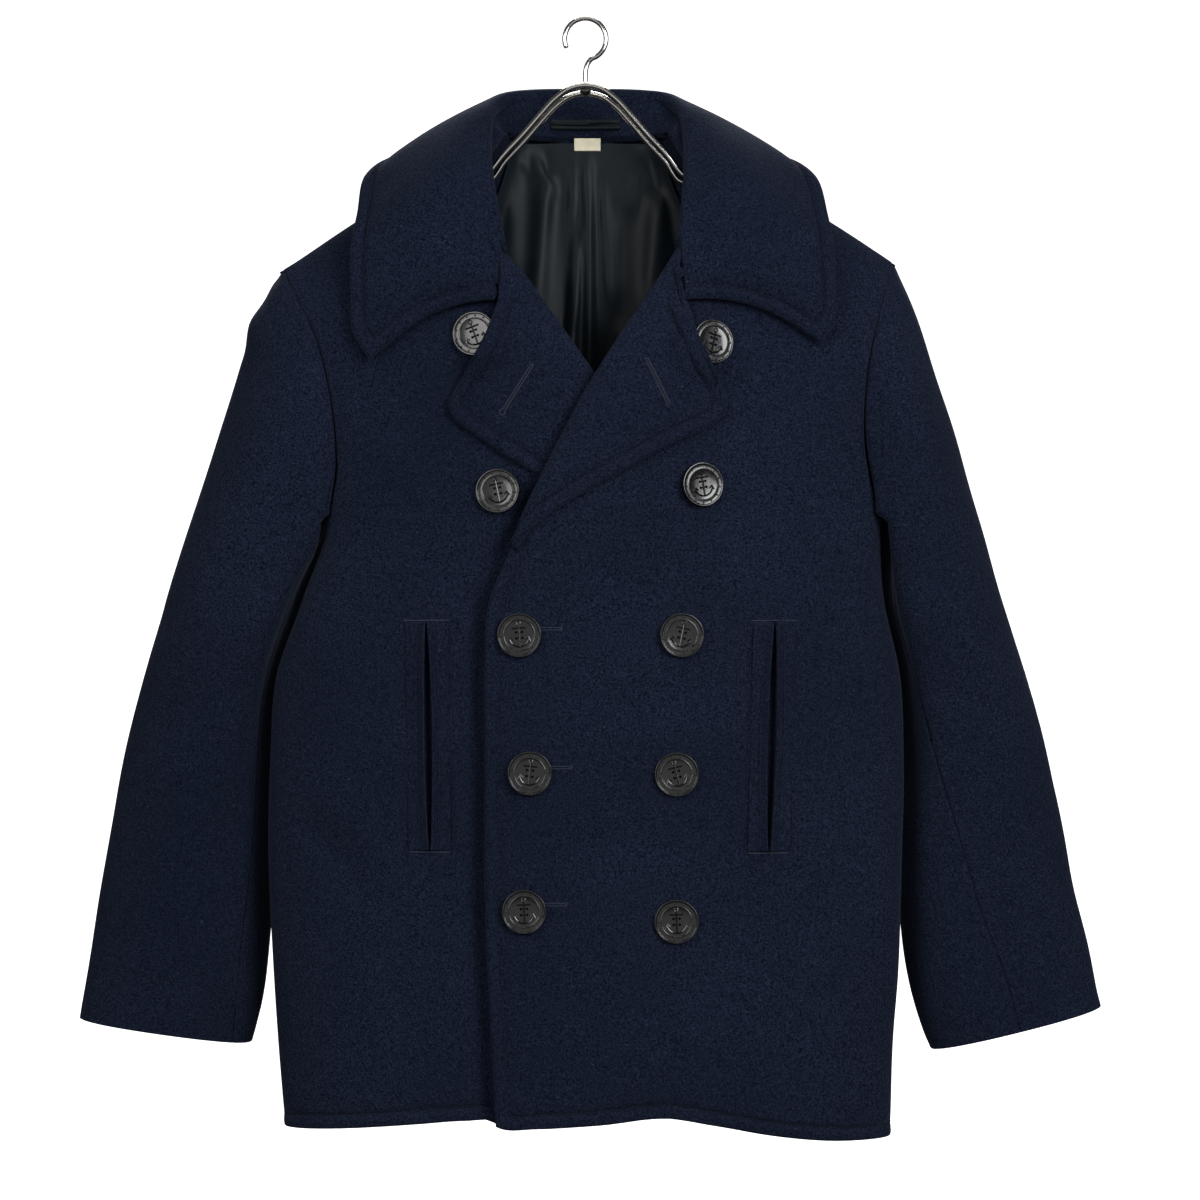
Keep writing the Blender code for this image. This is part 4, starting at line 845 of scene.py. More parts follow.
# A cut piece as it lies: rolled edges, a puffed band inside its sewn edge, creases and unevenness.
def clothPiece(name, points, normals, thick, finish, kind=None, seed=1, amount=0.6, sewn=None,
               edgeRoll=1.6,
               joined="", ends=0):
    rows, columns = points.shape[:2]
    index = np.arange(rows * columns).reshape(rows, columns)
    flat = points.reshape(-1, 3)
    rims = [flat[index[0]], flat[index[-1]], flat[index[:, 0]], flat[index[:, -1]]]
    apart = [awayFrom(points, thinned(rim)) for rim in rims]
    apart[0][0] = apart[1][-1] = apart[2][:, 0] = apart[3][:, -1] = 0
    edge = np.minimum.reduce(apart)
    roll = np.zeros(points.shape[:-1])
    for away, side in zip(apart, rimNames):
        size = seamTuck["roll"] if side in joined.split() else edgeRoll
        near = np.clip(away, 0, size)
        roll = np.maximum(roll, size - np.sqrt(np.maximum(size ** 2 - (size - near) ** 2, 0)))
    lift = creaseHeight(points, kind) + uneven(points, seed, amount)
    lift *= smooth(0, 14, edge)
    if sewn is not None:
        away = awayFrom(points, thinned(flat[sewn]))
        band = np.clip(away / stitchIn, 0, 1)
        puff = topstitch["puff"] * np.sin(math.pi * band) ** 0.6
        pull = topstitch["pull"] * np.exp(-((away - stitchIn) / topstitch["narrow"]) ** 2)
        draw = topstitch["draw"] * np.exp(-((away - stitchIn) / topstitch["wide"]) ** 2)
        pucker = 1 + 0.22 * np.sin(points[..., 0] * 0.9 + points[..., 2] * 1.3 + seed)
        seams = [away for away, side in zip(apart, rimNames) if side in joined.split()]
        fade = smooth(1, 16, np.minimum.reduce(seams)) if seams else 1
        lift = lift + (puff - (pull + draw) * pucker) * fade
        sewing.setdefault(name, []).append(seamInside(points, normals, sewn, stitchIn))
    outer = points + normals * (lift - roll)[..., None]
    inner = points + normals * (lift * 0.9 - thick + roll * 0.6)[..., None]
    edges = {"top": (index[-1], index[-2]), "foot": (index[0], index[1]),
             "start": (index[:, 0], index[:, 1]),
             "end": (index[:, -1], index[:, -2])}
    loose = [away for away, side in zip(apart, rimNames) if side not in joined.split()]
    loose = np.maximum(smooth(1, 12, np.minimum.reduce(loose)), 0.5 * (len(loose) < 3)).reshape(-1)
    pairs = [(*edges[word], loose[edges[word][0]]) for word in joined.split()]
    fade = np.clip((ends - np.arange(ends)) / 8, 0, 1)
    pairs += [(index[0, :ends], index[1, :ends], fade),
              (index[-1, :ends], index[-2, :ends], fade)] if ends else []
    tuck, sink = np.zeros_like(flat), np.zeros(len(flat))
    for rim, inside, share in pairs:
        tuck[rim] += unit(flat[rim] - flat[inside]) * share[:, None]
        sink[rim] = share
    tuck, sink = tuck.reshape(points.shape), sink.reshape(rows, columns, 1)
    outer = outer + tuck * seamTuck["outer"] - normals * sink * seamTuck["sink"]
    inner = inner + tuck * seamTuck["inner"] - normals * sink * 2 * seamTuck["sink"]
    return clothMesh(name, outer, inner, finish), outer


def cutSize(outer):
    down = np.linalg.norm(np.diff(outer, axis=0), axis=2).sum(axis=0).max() / 1000
    across = np.linalg.norm(np.diff(outer, axis=1), axis=2).sum(axis=1).max() / 1000
    one, two = outer[1:, :-1] - outer[:-1, :-1], outer[:-1, 1:] - outer[:-1, :-1]
    area = np.linalg.norm(np.cross(one, two), axis=2).sum() * 1e-6
    return (round(float(across), 3), round(float(down), 3),
            round(float(min(area, 0.98 * across * down)), 5))


# finishes
# A value in a material, with sums written as they are read.
class Value:
    def __init__(self, finish, socket):
        self.finish = finish
        self.socket = socket

    def maths(self, operation, *others):
        return self.finish.add("ShaderNodeMath", {"operation": operation}, dict(enumerate(others)))

    def __add__(self, other):
        return self.maths("ADD", self, other)

    def __mul__(self, other):
        return self.maths("MULTIPLY", self, other)

    def __sub__(self, other):
        return self.maths("SUBTRACT", self, other)

    def __rsub__(self, other):
        return self.maths("SUBTRACT", other, self)

    def __gt__(self, other):
        return self.maths("GREATER_THAN", self, other)

    def __lt__(self, other):
        return self.maths("LESS_THAN", self, other)

    __radd__ = __add__
    __rmul__ = __mul__


class Finish:
    def __init__(self, name, fixed):
        self.made = bpy.data.materials.new(name)
        self.made.use_nodes = True
        self.tree = self.made.node_tree
        self.shader = self.tree.nodes["Principled BSDF"]
        for socket, value in fixed.items():
            self.shader.inputs[socket].default_value = value
        self.place = self.add("ShaderNodeTexCoord", {}, {}, "Object")
        self.cut = self.add("ShaderNodeTexCoord", {}, {}, "UV")

    def add(self, kind, settings, sockets, output=0):
        node = self.tree.nodes.new(kind)
        for name, value in settings.items():
            setattr(node, name, value)
        for place, value in sockets.items():
            if isinstance(value, Value):
                self.tree.links.new(value.socket, node.inputs[place])
            else:
                node.inputs[place].default_value = value
        return Value(self, node.outputs[output])

    def noise(self, scale, detail=3.0, roughness=0.6, stretch=(1, 1, 1), at=None):
        at = at or self.place
        if stretch != (1, 1, 1):
            at = self.add("ShaderNodeVectorMath", {"operation": "MULTIPLY"}, {0: at, 1: stretch})
        return self.add("ShaderNodeTexNoise", {}, {"Vector": at, "Scale": scale, "Detail": detail,
                                                   "Roughness": roughness})

    def ramp(self, value, low, high):
        return self.add("ShaderNodeMapRange", {"clamp": True},
                        {"Value": value, "From Min": low, "From Max": high})

    def mix(self, factor, first, second):
        return self.add("ShaderNodeMix", {"data_type": "RGBA"}, {0: factor, 6: first, 7: second}, 2)

    def use(self, **links):
        for name, value in links.items():
            self.tree.links.new(value.socket, self.shader.inputs[name.replace("_", " ")])
        return self.made

    def bump(self, height, distance, strength=1.0):
        return self.add("ShaderNodeBump", {}, {"Height": height, "Distance": distance,
                                               "Strength": strength}, 0)


def colour(*rgb):
    return tuple(rgb) + (1.0,)


def woolFinish():
    wool = Finish("wool melton", {"Sheen Weight": 0.09, "Sheen Roughness": 0.45,
                                  "Sheen Tint": colour(0.62, 0.7, 0.9),
                                  "Specular IOR Level": 0.05})
    nap = wool.noise(640, 2, 0.6)
    fine = wool.noise(1150, 2, 0.6)
    felt = wool.noise(270, 3, 0.65)
    clouds = wool.noise(14, 3, 0.55)
    drift = wool.noise(5, 2, 0.5)
    speckle = wool.ramp(nap * 0.55 + fine * 0.35 + felt * 0.1, 0.41, 0.60)
    body = wool.mix(speckle, colour(0.0024, 0.0044, 0.0128), colour(0.0205, 0.0285, 0.0560))
    body = wool.mix(wool.ramp(clouds, 0.3, 0.7) * 0.2, body, colour(0.0060, 0.0090, 0.0205))
    body = wool.mix(wool.ramp(drift, 0.38, 0.66) * 0.35, body, colour(0.0040, 0.0066, 0.0160))
    tangle = wool.noise(360, 3, 0.7)
    hairs = wool.ramp(tangle * nap, 0.37, 0.43)
    body = wool.mix(hairs * 0.4, body, colour(0.046, 0.058, 0.092))
    lint = wool.add("ShaderNodeTexVoronoi", {}, {"Vector": wool.place, "Scale": 75.0}, "Distance")
    chosen = wool.noise(31, 2, 0.5)
    specks = wool.ramp(lint, 0.06, 0.02) * wool.ramp(chosen, 0.6, 0.66)
    body = wool.mix(specks * 0.45, body, colour(0.13, 0.15, 0.19))
    height = nap * 0.9 + fine * 0.4 + felt * 0.5
    return wool.use(Base_Color=body, Roughness=0.86 + nap * 0.12,
                    Normal=wool.bump(height, 0.0009, 0.9))


def satinFinish():
    satin = Finish("satin lining", {"Specular IOR Level": 0.2, "Sheen Weight": 0.03})
    waves = satin.add("ShaderNodeTexWave", {"wave_type": "BANDS", "bands_direction": "DIAGONAL"},
                      {"Vector": satin.cut, "Scale": 900.0, "Distortion": 0.6}, 1)
    clouds = satin.noise(22, 3, 0.5)
    body = satin.mix(satin.ramp(clouds, 0.35, 0.65), colour(0.0030, 0.0072, 0.0104),
                     colour(0.0060, 0.0114, 0.0156))
    return satin.use(Base_Color=body, Roughness=0.42 + clouds * 0.16,
                     Normal=satin.bump(waves, 0.00005, 0.15))


def tapeFinish():
    tape = Finish("label tape", {"Specular IOR Level": 0.2})
    warp = tape.add("ShaderNodeTexWave", {"bands_direction": "X"},
                    {"Vector": tape.cut, "Scale": 420.0}, 1)
    weft = tape.add("ShaderNodeTexWave", {"bands_direction": "Y"},
                    {"Vector": tape.cut, "Scale": 420.0}, 1)
    grime = tape.noise(160, 3, 0.6)
    body = tape.mix(tape.ramp(grime, 0.4, 0.7), colour(0.92, 0.86, 0.66), colour(0.80, 0.74, 0.55))
    return tape.use(Base_Color=body, Roughness=0.75 + grime * 0.15,
                    Normal=tape.bump(warp * weft, 0.0002, 0.6))


def threadFinish(name, dark, light):
    thread = Finish(name, {"Specular IOR Level": 0.12, "Sheen Weight": 0.04})
    twist = thread.noise(2600, 2, 0.5)
    body = thread.mix(twist, colour(*dark), colour(*light))
    return thread.use(Base_Color=body, Roughness=0.65 + twist * 0.2,
                      Normal=thread.bump(twist, 0.0002, 0.6))


def plasticFinish():
    plastic = Finish("button plastic", {"Specular IOR Level": 0.75, "IOR": 1.52})
    cloud = plastic.noise(240, 3, 0.5)
    scuffs = plastic.ramp(plastic.noise(900, 3, 0.7, (1, 1, 0.2)), 0.62, 0.72)
    body = plastic.mix(cloud, colour(0.0028, 0.0028, 0.0032), colour(0.006, 0.006, 0.0066))
    return plastic.use(Base_Color=body, Roughness=0.13 + cloud * 0.08 + scuffs * 0.12,
                       Normal=plastic.bump(cloud, 0.0001, 0.25))


def metalFinish(name, dark, light, low, high):
    metal = Finish(name, {"Metallic": 1.0})
    cloud = metal.noise(300, 3, 0.6)
    drawn = metal.noise(1500, 2, 0.5)
    return metal.use(Base_Color=metal.mix(cloud, colour(*dark), colour(*light)),
                     Roughness=low + cloud * (high - low), Normal=metal.bump(drawn, 0.00005, 0.2))


wool, satin, tape, plastic = woolFinish(), satinFinish(), tapeFinish(), plasticFinish()
thread = threadFinish("sewing thread", (0.004, 0.006, 0.012), (0.015, 0.021, 0.038))
twist = threadFinish("buttonhole twist", (0.020, 0.027, 0.045), (0.045, 0.057, 0.085))
chrome = metalFinish("chrome wire", (0.74, 0.70, 0.64), (0.86, 0.83, 0.78), 0.06, 0.16)
steel = metalFinish("dark steel", (0.07, 0.07, 0.07), (0.14, 0.135, 0.13), 0.28, 0.42)
print("finishes made")


# the pocket mouth and the wool pieces
slit = {"depth": 6.5, "halfWidth": 2.7, "lines": (-20.4, -19.5, -18.7, -17.9, -17, -13, -9, -6.5,
                                                  -4.6, -3.4, -2.6, -1.9, -1.2, -0.4, 0.4, 1.2, 1.9,
                                                  2.6, 3.4, 4.6, 6.5, 9,
                                                     13, 17, 17.9, 18.7, 19.5, 20.4)}


def slitOf(side):
    return next(row[1:] for row in pockets if row[0] == side)


# How far a pocket mouth gapes: pointed at both ends.
def gape(t):
    return 0.22 + 1.0 * np.sin(math.pi * np.clip(t, 0, 1)) ** 0.75


# The open pocket mouth as a trough in the front, under the welts.
def slitDepth(points, side):
    topX, topZ, lowX, lowZ = slitOf(side)
    t = np.clip((points[..., 2] - lowZ) / (topZ - lowZ), 0, 1)
    away = np.hypot(points[..., 0] - lowX - (topX - lowX) * t,
                    points[..., 2] - lowZ - (topZ - lowZ) * t)
    beside = (np.exp(-((away - 18.7) / 1.1) ** 2)
              * (np.abs(points[..., 2] - (topZ + lowZ) / 2) < (topZ - lowZ) / 2))
    return slit["depth"] * np.exp(-(away / (slit["halfWidth"] * gape(t))) ** 4) + 0.9 * beside


# The underlap falls away beside the edge that lies over it.
def hollowDepth(points):
    edge = np.interp(points[..., 2], column(overlapEdge, 2), column(overlapEdge, 1))
    beside = np.exp(-((points[..., 0] - edge + 5) / 8.5) ** 2)
    return 9.5 * beside * smooth(-350, -420, points[..., 2])


# Adds close columns where the pocket mouth runs.
def withSlit(shares, side, edge, way, armhole):
    topX, topZ, lowX, lowZ = slitOf(side)
    rises = np.array([0.0, 0.3, 0.45])
    at = frontPanel(edge, way, armhole, rises, shares, way > 0)[0][1:].mean(axis=0)
    middle = np.interp(abs((topX + lowX) / 2 - at[0, 0]), np.abs(at[:, 0] - at[0, 0]), shares)
    step = 1 / 330
    lines = middle + np.array(slit["lines"]) * step
    kept = shares[(shares < lines[0] - step) | (shares > lines[-1] + step)]
    return np.sort(np.concatenate([kept, lines]))


def buildFronts():
    rises = edgeLines(800, 4.5, start=True)
    for name, edge, side, armhole, overlap, seed in (
            ("front_underlap", underlapEdge, -1, armholeLeftFront, False, 3),
            ("front_overlap", overlapEdge, 1, armholeRightFront, True, 4)):
        shares = withSlit(edgeLines(320, 4.5, start=overlap), "right" if overlap else "left", edge,
                          side, armhole)
        points, normals, thick = frontPanel(edge, side, armhole, rises, shares, overlap)
        index = np.arange(points.shape[0] * points.shape[1]).reshape(points.shape[:2])
        top = int(np.searchsorted(rises, 0.565))
        sewn = np.concatenate([index[top:0:-1, 0], index[0]]) if overlap else index[0]
        points = points - normals * slitDepth(points, "right" if overlap else "left")[..., None]
        if not overlap:
            points = points - normals * hollowDepth(points)[..., None]
        piece, outer = clothPiece(name, points, normals, thick, wool, "front", seed, 0.7, sewn,
                                  joined="end top")
        declare(piece, [name], cutSize(outer))


def buildBacks():
    rises, shares = edgeLines(800, start=True), edgeLines(290)
    for name, side, armhole, seed in (("back_left", -1, armholeLeftBack, 5),
                                      ("back_right", 1, armholeRightBack, 6)):
        points, normals, thick = backPanel(side, armhole, rises, shares)
        index = np.arange(points.shape[0] * points.shape[1]).reshape(points.shape[:2])
        piece, outer = clothPiece(name, points, normals, thick, wool, "back", seed, 0.7, index[0],
                                  joined="start end top")
        declare(piece, [name], cutSize(outer))


def buildLapels():
    for name, table, side, overlap, seed in (("lapel_underlap", lapelUnderlap, -1, False, 7),
                                             ("lapel_overlap", lapelOverlap, 1, True, 8)):
        last = len(table) - 1
        along, across = (edgeLines(330, 2.4) * last,
                         edgeLines(150, 1.9, end=True) * (len(lapelRoll) - 1))
        points, thick = lapelGrid(table, side, along, across, overlap)
        normals = gridNormals(points) * -side
        normals[0, :, 0] = 0
        index = np.arange(points.shape[0] * points.shape[1]).reshape(points.shape[:2])
        piece, outer = clothPiece(name, points, unit(normals), thick, wool, None, seed, 0.35,
                                  index[:, -1], joined="foot")
        declare(piece, [name], cutSize(outer))


def buildCollar():
    stations, across = edgeLines(800, 3.2, start=True, end=True) * 18, edgeLines(215, 3.2, end=True)
    points = collarGrid(stations, across)
    normals = -gridNormals(points)
    normals[:, 0, 2] = 0
    normals[(0, -1), :, 0] = 0
    index = np.arange(points.shape[0] * points.shape[1]).reshape(points.shape[:2])
    free = int(np.searchsorted(across, middleShare))
    sewn = np.concatenate([index[0, free:-1], index[:-1, -1], index[-1, :free:-1]])
    piece, outer = clothPiece("collar", points, unit(normals), collarWall, wool, None, 9, 0.5, sewn,
                              joined="start",
                              ends=free)
    declare(piece, ["collar"], cutSize(outer))


def buildSleeves():
    for side, word in ((-1, "left"), (1, "right")):
        for part, upper, around in (("upper", True, 250), ("under", False, 110)):
            points, normals = sleevePanel(side, upper, edgeLines(around, 5), edgeLines(620, 5))
            if side < 0:  # the sleeve lies against the body under the arm
                lean = (np.exp(-((points[..., 2] + 428) / 26) ** 2)
                        * smooth(-0.1, 0.5, normals[..., 0]))
                points[..., 0] += 7.0 * lean
            name = f"sleeve_{word}_{part}"
            piece, outer = clothPiece(name, points, normals, 2.4, wool, word, 10 + side, 0.7,
                                      edgeRoll=1.2,
                                      joined="start end foot")
            declare(piece, [name], cutSize(outer))


def buildWelts():
    rises = edgeLines(184, 3)
    lines = np.array([0, 0.4, 1.0, 1.7, 2.3, 2.9, 3.5, 4.2, 5.0, 5.6, 6.2, 7.2, 8.4, 9.6, 11, 12.6,
                      14, 14.6, 15])
    shares = lines / 7.5 - 1
    for side, topX, topZ, lowX, lowZ in pockets:
        inward = 1 if side == "left" else -1
        for part, sign in (("front", inward), ("side", -inward)):
            lip = slitOpen * 0.7 * gape(rises)[:, None]
            x = (lowX + (topX - lowX) * rises)[:, None] + sign * (
                lip + (slitOpen / 2 + weltWidth - lip) * (shares + 1) / 2)
            z = (lowZ + (topZ - lowZ) * rises)[:, None] + 0 * shares
            overlap = side == "right"
            points, normals = (bodyPoint(girthAt(x, z), z, overlap),
                               bodyNormal(girthAt(x, z), z, overlap))
            stands = np.exp(-(lines / 5.2) ** 2)  # the folded lip beside the slit
            grooves = (1.0 * np.exp(-((lines - 2.9) / 0.6) ** 2)
                       + 0.8 * np.exp(-((lines - 5.6) / 0.6) ** 2))
            height = 0.9 + 2.9 * stands + 0.5 * (1 - smooth(0, 1, shares)) - grooves
            points = points + normals * height[None, :, None]
            name = f"welt_{side}_{part}"
            piece, outer = clothPiece(name, points, normals, height - 0.5, wool, None, 20, 0.1,
                                      edgeRoll=0.5)
            declare(piece, [name], cutSize(outer))


buildFronts()
buildBacks()
buildLapels()
buildCollar()
buildSleeves()
buildWelts()
print("wool cut and hung")


# lining, loop and label
def buildInside():
    across = (edgeLines(380, 2.6) * 2 - 1) * 190
    rises = edgeLines(770, 4.5)
    top = np.minimum(neckSeamHeight - 3.0,
                     ridgeHeight(across) - 30 - 16 * smooth(60, 100, np.abs(across)))
    height = top[None, :] + (liningHem - top[None, :]) * rises[:, None]
    points = liningPoint(across[None, :] * (1 + 0.1 * rises[:, None]), height)
    normals = gridNormals(points)
    normals *= np.where(normals[..., 1:2] > 0, -1, 1)
    piece, outer = clothPiece("lining_back", points, normals, 1.0, satin, "lining", 30, 0.5,
                              edgeRoll=0.4)
    declare(piece, ["lining_back"], cutSize(outer))
    across, rises = ((edgeLines(58) * 2 - 1) * 29,
                     loopHeight + 4.5 - 9 * edgeLines(9)[[0, 3, 5, 6, 8, 11]])
    x, z = np.meshgrid(across, rises)
    stand = collarGrid(9 + across / 37.0, np.array([0, footShare]))
    low, high = ([np.interp(across, stand[:, j, 0],
                            stand[:, j, i]) for i in (1, 2)] for j in (0, 1))
    y = (low[0] + (high[0] - low[0]) * (z - low[1]) / (high[1] - low[1])
         - 2.4 - 1.4 * (1 - (x / 29) ** 2) ** 0.5)
    points = np.stack([x, y, z], axis=-1)
    facing = np.broadcast_to(np.array([0.0, -1.0, 0.0]), points.shape)
    piece, outer = clothPiece("hanging_loop", points, facing, 1.3, satin, None, 31, 0.15,
                              edgeRoll=0.5)
    declare(piece, ["hanging_loop"], cutSize(outer))
    shares = np.array([0, 0.05, 0.15, 0.3, 0.5, 0.7, 0.85, 0.95, 1])
    x, z = np.meshgrid(-9.5 + 22 * shares, -91.2 - 10.5 * shares)
    points = np.stack([x, liningPoint(x, np.full_like(x, -97.0))[..., 1] - 1.3, z], axis=-1)
    facing = np.broadcast_to(np.array([0.0, -1.0, 0.0]), points.shape)
    piece, outer = clothPiece("size_label", points, facing, 0.7, tape, None, 32, 0.1, edgeRoll=0.25)
    declare(piece, ["size_label"], cutSize(outer))


buildInside()
print("lining, loop and label in")


# rows of stitches
def treeOf(*names):
    vertices, faces = [], []
    for name in names:
        mesh = bpy.data.objects[name].data
        first = len(vertices)
        vertices += [vertex.co * 1000 for vertex in mesh.vertices]
        faces += [[first + i for i in face.vertices] for face in mesh.polygons]
    return BVHTree.FromPolygons(vertices, faces)


# Evenly spaced places along a line, and the way out at each.
def spaced(places, outward, step):
    run = np.concatenate([[0], np.cumsum(np.linalg.norm(np.diff(places, axis=0), axis=1))])
    at = np.arange(0, run[-1], step)
    pick = lambda values: np.stack([np.interp(at, run, values[:, i]) for i in range(3)], axis=1)
    return pick(places), unit(pick(outward))


def seatOn(tree, places, outward, above=10.0):
    seats = []
    for place, out in zip(places, outward):
        hit = tree.ray_cast(Vector(place + out * above), Vector(-out), above * 2.5)[0]
        seats.append(np.array(hit) if hit is not None else np.full(3, np.nan))
    return np.array(seats)


# Stitches between pairs of seats: each a short thread that dips into the cloth at both ends.
def threads(starts, ends, outward, width, rise=0.25):
    sides = 5
    rings = ((0.0, 0.35, -0.3), (0.14, 0.85, 0.35), (0.5, 1.0, 1.0), (0.86, 0.85, 0.35),
             (1.0, 0.35, -0.3))
    run = ends - starts
    along = unit(run)
    side = unit(np.cross(along, outward))
    up = np.cross(side, along)
    angles = np.arange(sides) * 2 * math.pi / sides
    vertices, faces = [], []
    for k in range(len(starts)):
        first = len(vertices)
        for t, share, height in rings:
            centre = starts[k] + run[k] * t + up[k] * rise * height
            for angle in angles:
                vertices.append(centre + width / 2 * share
                                * (side[k] * math.cos(angle) + up[k] * math.sin(angle)))
        for r in range(len(rings) - 1):
            for c in range(sides):
                n = (c + 1) % sides
                faces.append((first + r * sides + c, first + r * sides + n,
                              first + (r + 1) * sides + n,
                              first + (r + 1) * sides + c))
        faces.append(tuple(first + c for c in range(sides))[::-1])
        faces.append(tuple(first + (len(rings) - 1) * sides + c for c in range(sides)))
    return vertices, faces


def threadMesh(name, parts, finish=None):
    vertices, faces = [], []
    for places, shapes in parts:
        first = len(vertices)
        vertices += [tuple(place * 0.001) for place in places]
        faces += [tuple(first + i for i in shape) for shape in shapes]
    mesh = bpy.data.meshes.new(name)
    mesh.from_pydata(vertices, [], faces)
    mesh.materials.append(finish or thread)
    piece = bpy.data.objects.new(name, mesh)
    bpy.context.scene.collection.objects.link(piece)
    edit = bmesh.new()
    edit.from_mesh(mesh)
    bmesh.ops.recalc_face_normals(edit, faces=edit.faces)
    edit.to_mesh(mesh)
    edit.free()
    mesh.shade_smooth()
    return piece


def stitchLine(tree, places, outward, length=2.7, gap=0.8, width=0.55):
    step = length + gap
    places, outward = spaced(np.asarray(places, float), np.asarray(outward, float), step)
    seats = seatOn(tree, places, outward)
    starts, after = seats[:-1], seats[1:]
    run = after - starts
    ends = starts + run * length / step
    distance = np.linalg.norm(run, axis=1)
    good = (distance > step * 0.5) & (distance < step * 1.6)
    if not good.any():
        return [], []
    return threads(starts[good], ends[good], outward[:-1][good], width)


# Places on the front at these places of the front view, for lines drawn on the fronts.
def drawn(line, overlap, step=2.0):
    line = np.asarray(line, float)
    run = np.concatenate([[0], np.cumsum(np.linalg.norm(np.diff(line, axis=0), axis=1))])
    at = np.linspace(0, run[-1], max(2, int(run[-1] / step) + 1))
    x, z = np.interp(at, run, line[:, 0]), np.interp(at, run, line[:, 1])
    return bodyPoint(girthAt(x, z), z, overlap), bodyNormal(girthAt(x, z), z, overlap)


def cordAlong(tree, line, outward, radius, pitch=0.7):
    places, outward = spaced(line, outward, pitch)
    seats = seatOn(tree, places, outward)
    seats = np.where(np.isnan(seats), places, seats) + outward * radius * 0.35
    along = unit(np.gradient(seats, axis=0))
    side = unit(np.cross(along, outward))
    up = np.cross(side, along)
    sides = 8
    angles = np.arange(sides) * 2 * math.pi / sides
    thick = radius * (1 + 0.16 * (np.arange(len(seats)) % 2))
    thick[0] = thick[-1] = radius * 0.5
    rings = seats[:, None] + thick[:, None, None] * (np.cos(angles)[None, :, None] * side[:, None]
                                                     + np.sin(angles)[None, :, None] * up[:, None])
    vertices = list(rings.reshape(-1, 3))
    faces = [tuple(range(sides))[::-1], tuple(range(len(vertices) - sides, len(vertices)))]
    for r in range(len(seats) - 1):
        for c in range(sides):
            n = (c + 1) % sides
            faces.append((r * sides + c, r * sides + n, (r + 1) * sides + n, (r + 1) * sides + c))
    return vertices, faces


def buildSewing():
    for name, rows in sewing.items():
        tree = treeOf(name)
        parts = [stitchLine(tree, places, outward) for places, outward in rows]
        piece = threadMesh(f"stitches_{name}", [part for part in parts if len(part[0])])
        declare(piece)
    for side, topX, topZ, lowX, lowZ in pockets:
        overlap = side == "right"
        tree = treeOf("front_overlap" if overlap else "front_underlap", f"welt_{side}_front",
                      f"welt_{side}_side")
        parts = []
        at = lambda t, off: (lowX + (topX - lowX) * t + off, lowZ + (topZ - lowZ) * t)
        for off in (-18.7, -8.6, -5.6, 5.6, 8.6, 18.7):
            bow = 0.0 if abs(off) > 10 else 0.35
            line = [at(t, off * (1 - bow + bow * gape(t))) for t in np.linspace(0, 1, 13)]
            parts.append(stitchLine(tree, *drawn(line, overlap)))
        bars = []
        for t, half, rise in ((1, 18.7, 1.6), (0, 16.5, -1.6)):
            x, z = at(t, 0)
            places, outward = drawn([(x - half, z + rise), (x + half, z + rise)], overlap, 0.8)
            bars.append(cordAlong(tree, places, outward, 0.5))
        declare(threadMesh(f"bars_{side}", bars, twist))
        for t, half, reach in ((1, 14.5, 15), (0, 15, -13)):
            x, z = at(t, 0)
            z += math.copysign(3.2, reach)
            for corner in (x - half, x + half):
                parts.append(stitchLine(tree, *drawn([(corner, z), (x, z + reach)], overlap, 1.0),
                                        2.4, 0.2, 0.8))
        declare(threadMesh(f"stitches_pocket_{side}", [part for part in parts if len(part[0])]))


buildSewing()
print("sewn")


# a buttonhole is a gimp cord round the hole with thread wound over it
def keyhole(start, end, eye, width):
    start, end = np.array(start, float), np.array(end, float)
    along = (end - start) / np.linalg.norm(end - start)
    side = np.array([-along[1], along[0]])
    line = [start + side * width / 2]
    neck = end - along * eye
    line.append(neck + side * width / 2)
    for angle in np.radians(np.arange(140, -141, -20)):
        line.append(end + eye * (along * math.cos(angle) * 1.0 + side * math.sin(angle)))
    line += [neck - side * width / 2, start - side * width / 2]
    return line


buttonholes = {
    "left": ("lapel_underlap", (-42, -287), (-66, -325)),
    "right": ("lapel_overlap", (49, -283), (68, -322)),
}
# on the overlap, behind and beside each left button: hole from the button towards the middle
frontHoles = {3: (-52, -498), 4: (-44, -608.5), 5: (-48, -717.5)}


def buildButtonholes():
    outwardFront = np.array([0.0, -1.0, 0.0])
    for side, (name, start, end) in buttonholes.items():
        tree = treeOf(name)
        parts = []
        line = np.array([(x, -75.0, z) for x, z in keyhole(start, end, 2.3, 2.2)])
        outward = np.broadcast_to(outwardFront, line.shape)
        parts.append(cordAlong(tree, line, outward, 0.52))
        # a dark cord in the sewing-thread finish lies along the slit between the cords: painted shade
        # of the opening
        line = np.array([(x, -75.0, z) for x, z in (start, end)])
        slitShade = cordAlong(tree, line, np.broadcast_to(outwardFront, line.shape), 0.5)
        declare(threadMesh(f"buttonhole_slit_shade_{side}", [slitShade]))
        bar = np.array([start, start], float) + np.array([[-1.9, 0.5], [1.9, -0.5]])
        line = np.array([(x, -75.0, z) for x, z in bar])
        parts.append(cordAlong(tree, line, np.broadcast_to(outwardFront, line.shape), 0.6))
        declare(threadMesh(f"buttonhole_{side}", parts, twist))
    tree = treeOf("front_overlap")
    parts = []
    for x, z in frontHoles.values():
        line = [(x + 12, z + 1.1), (x + 32, z + 0.9), (x + 33, z), (x + 32, z - 0.9),
                (x + 12, z - 1.1)]
        places, outward = drawn(line, True, 0.8)
        parts.append(cordAlong(tree, places, outward, 0.42))
        places, outward = drawn([(x + 33.4, z + 2.2), (x + 33.4, z - 2.2)], True, 0.8)
        parts.append(cordAlong(tree, places, outward, 0.55))
    declare(threadMesh("buttonholes_front", parts, twist))


buildButtonholes()
print("buttonholes worked")


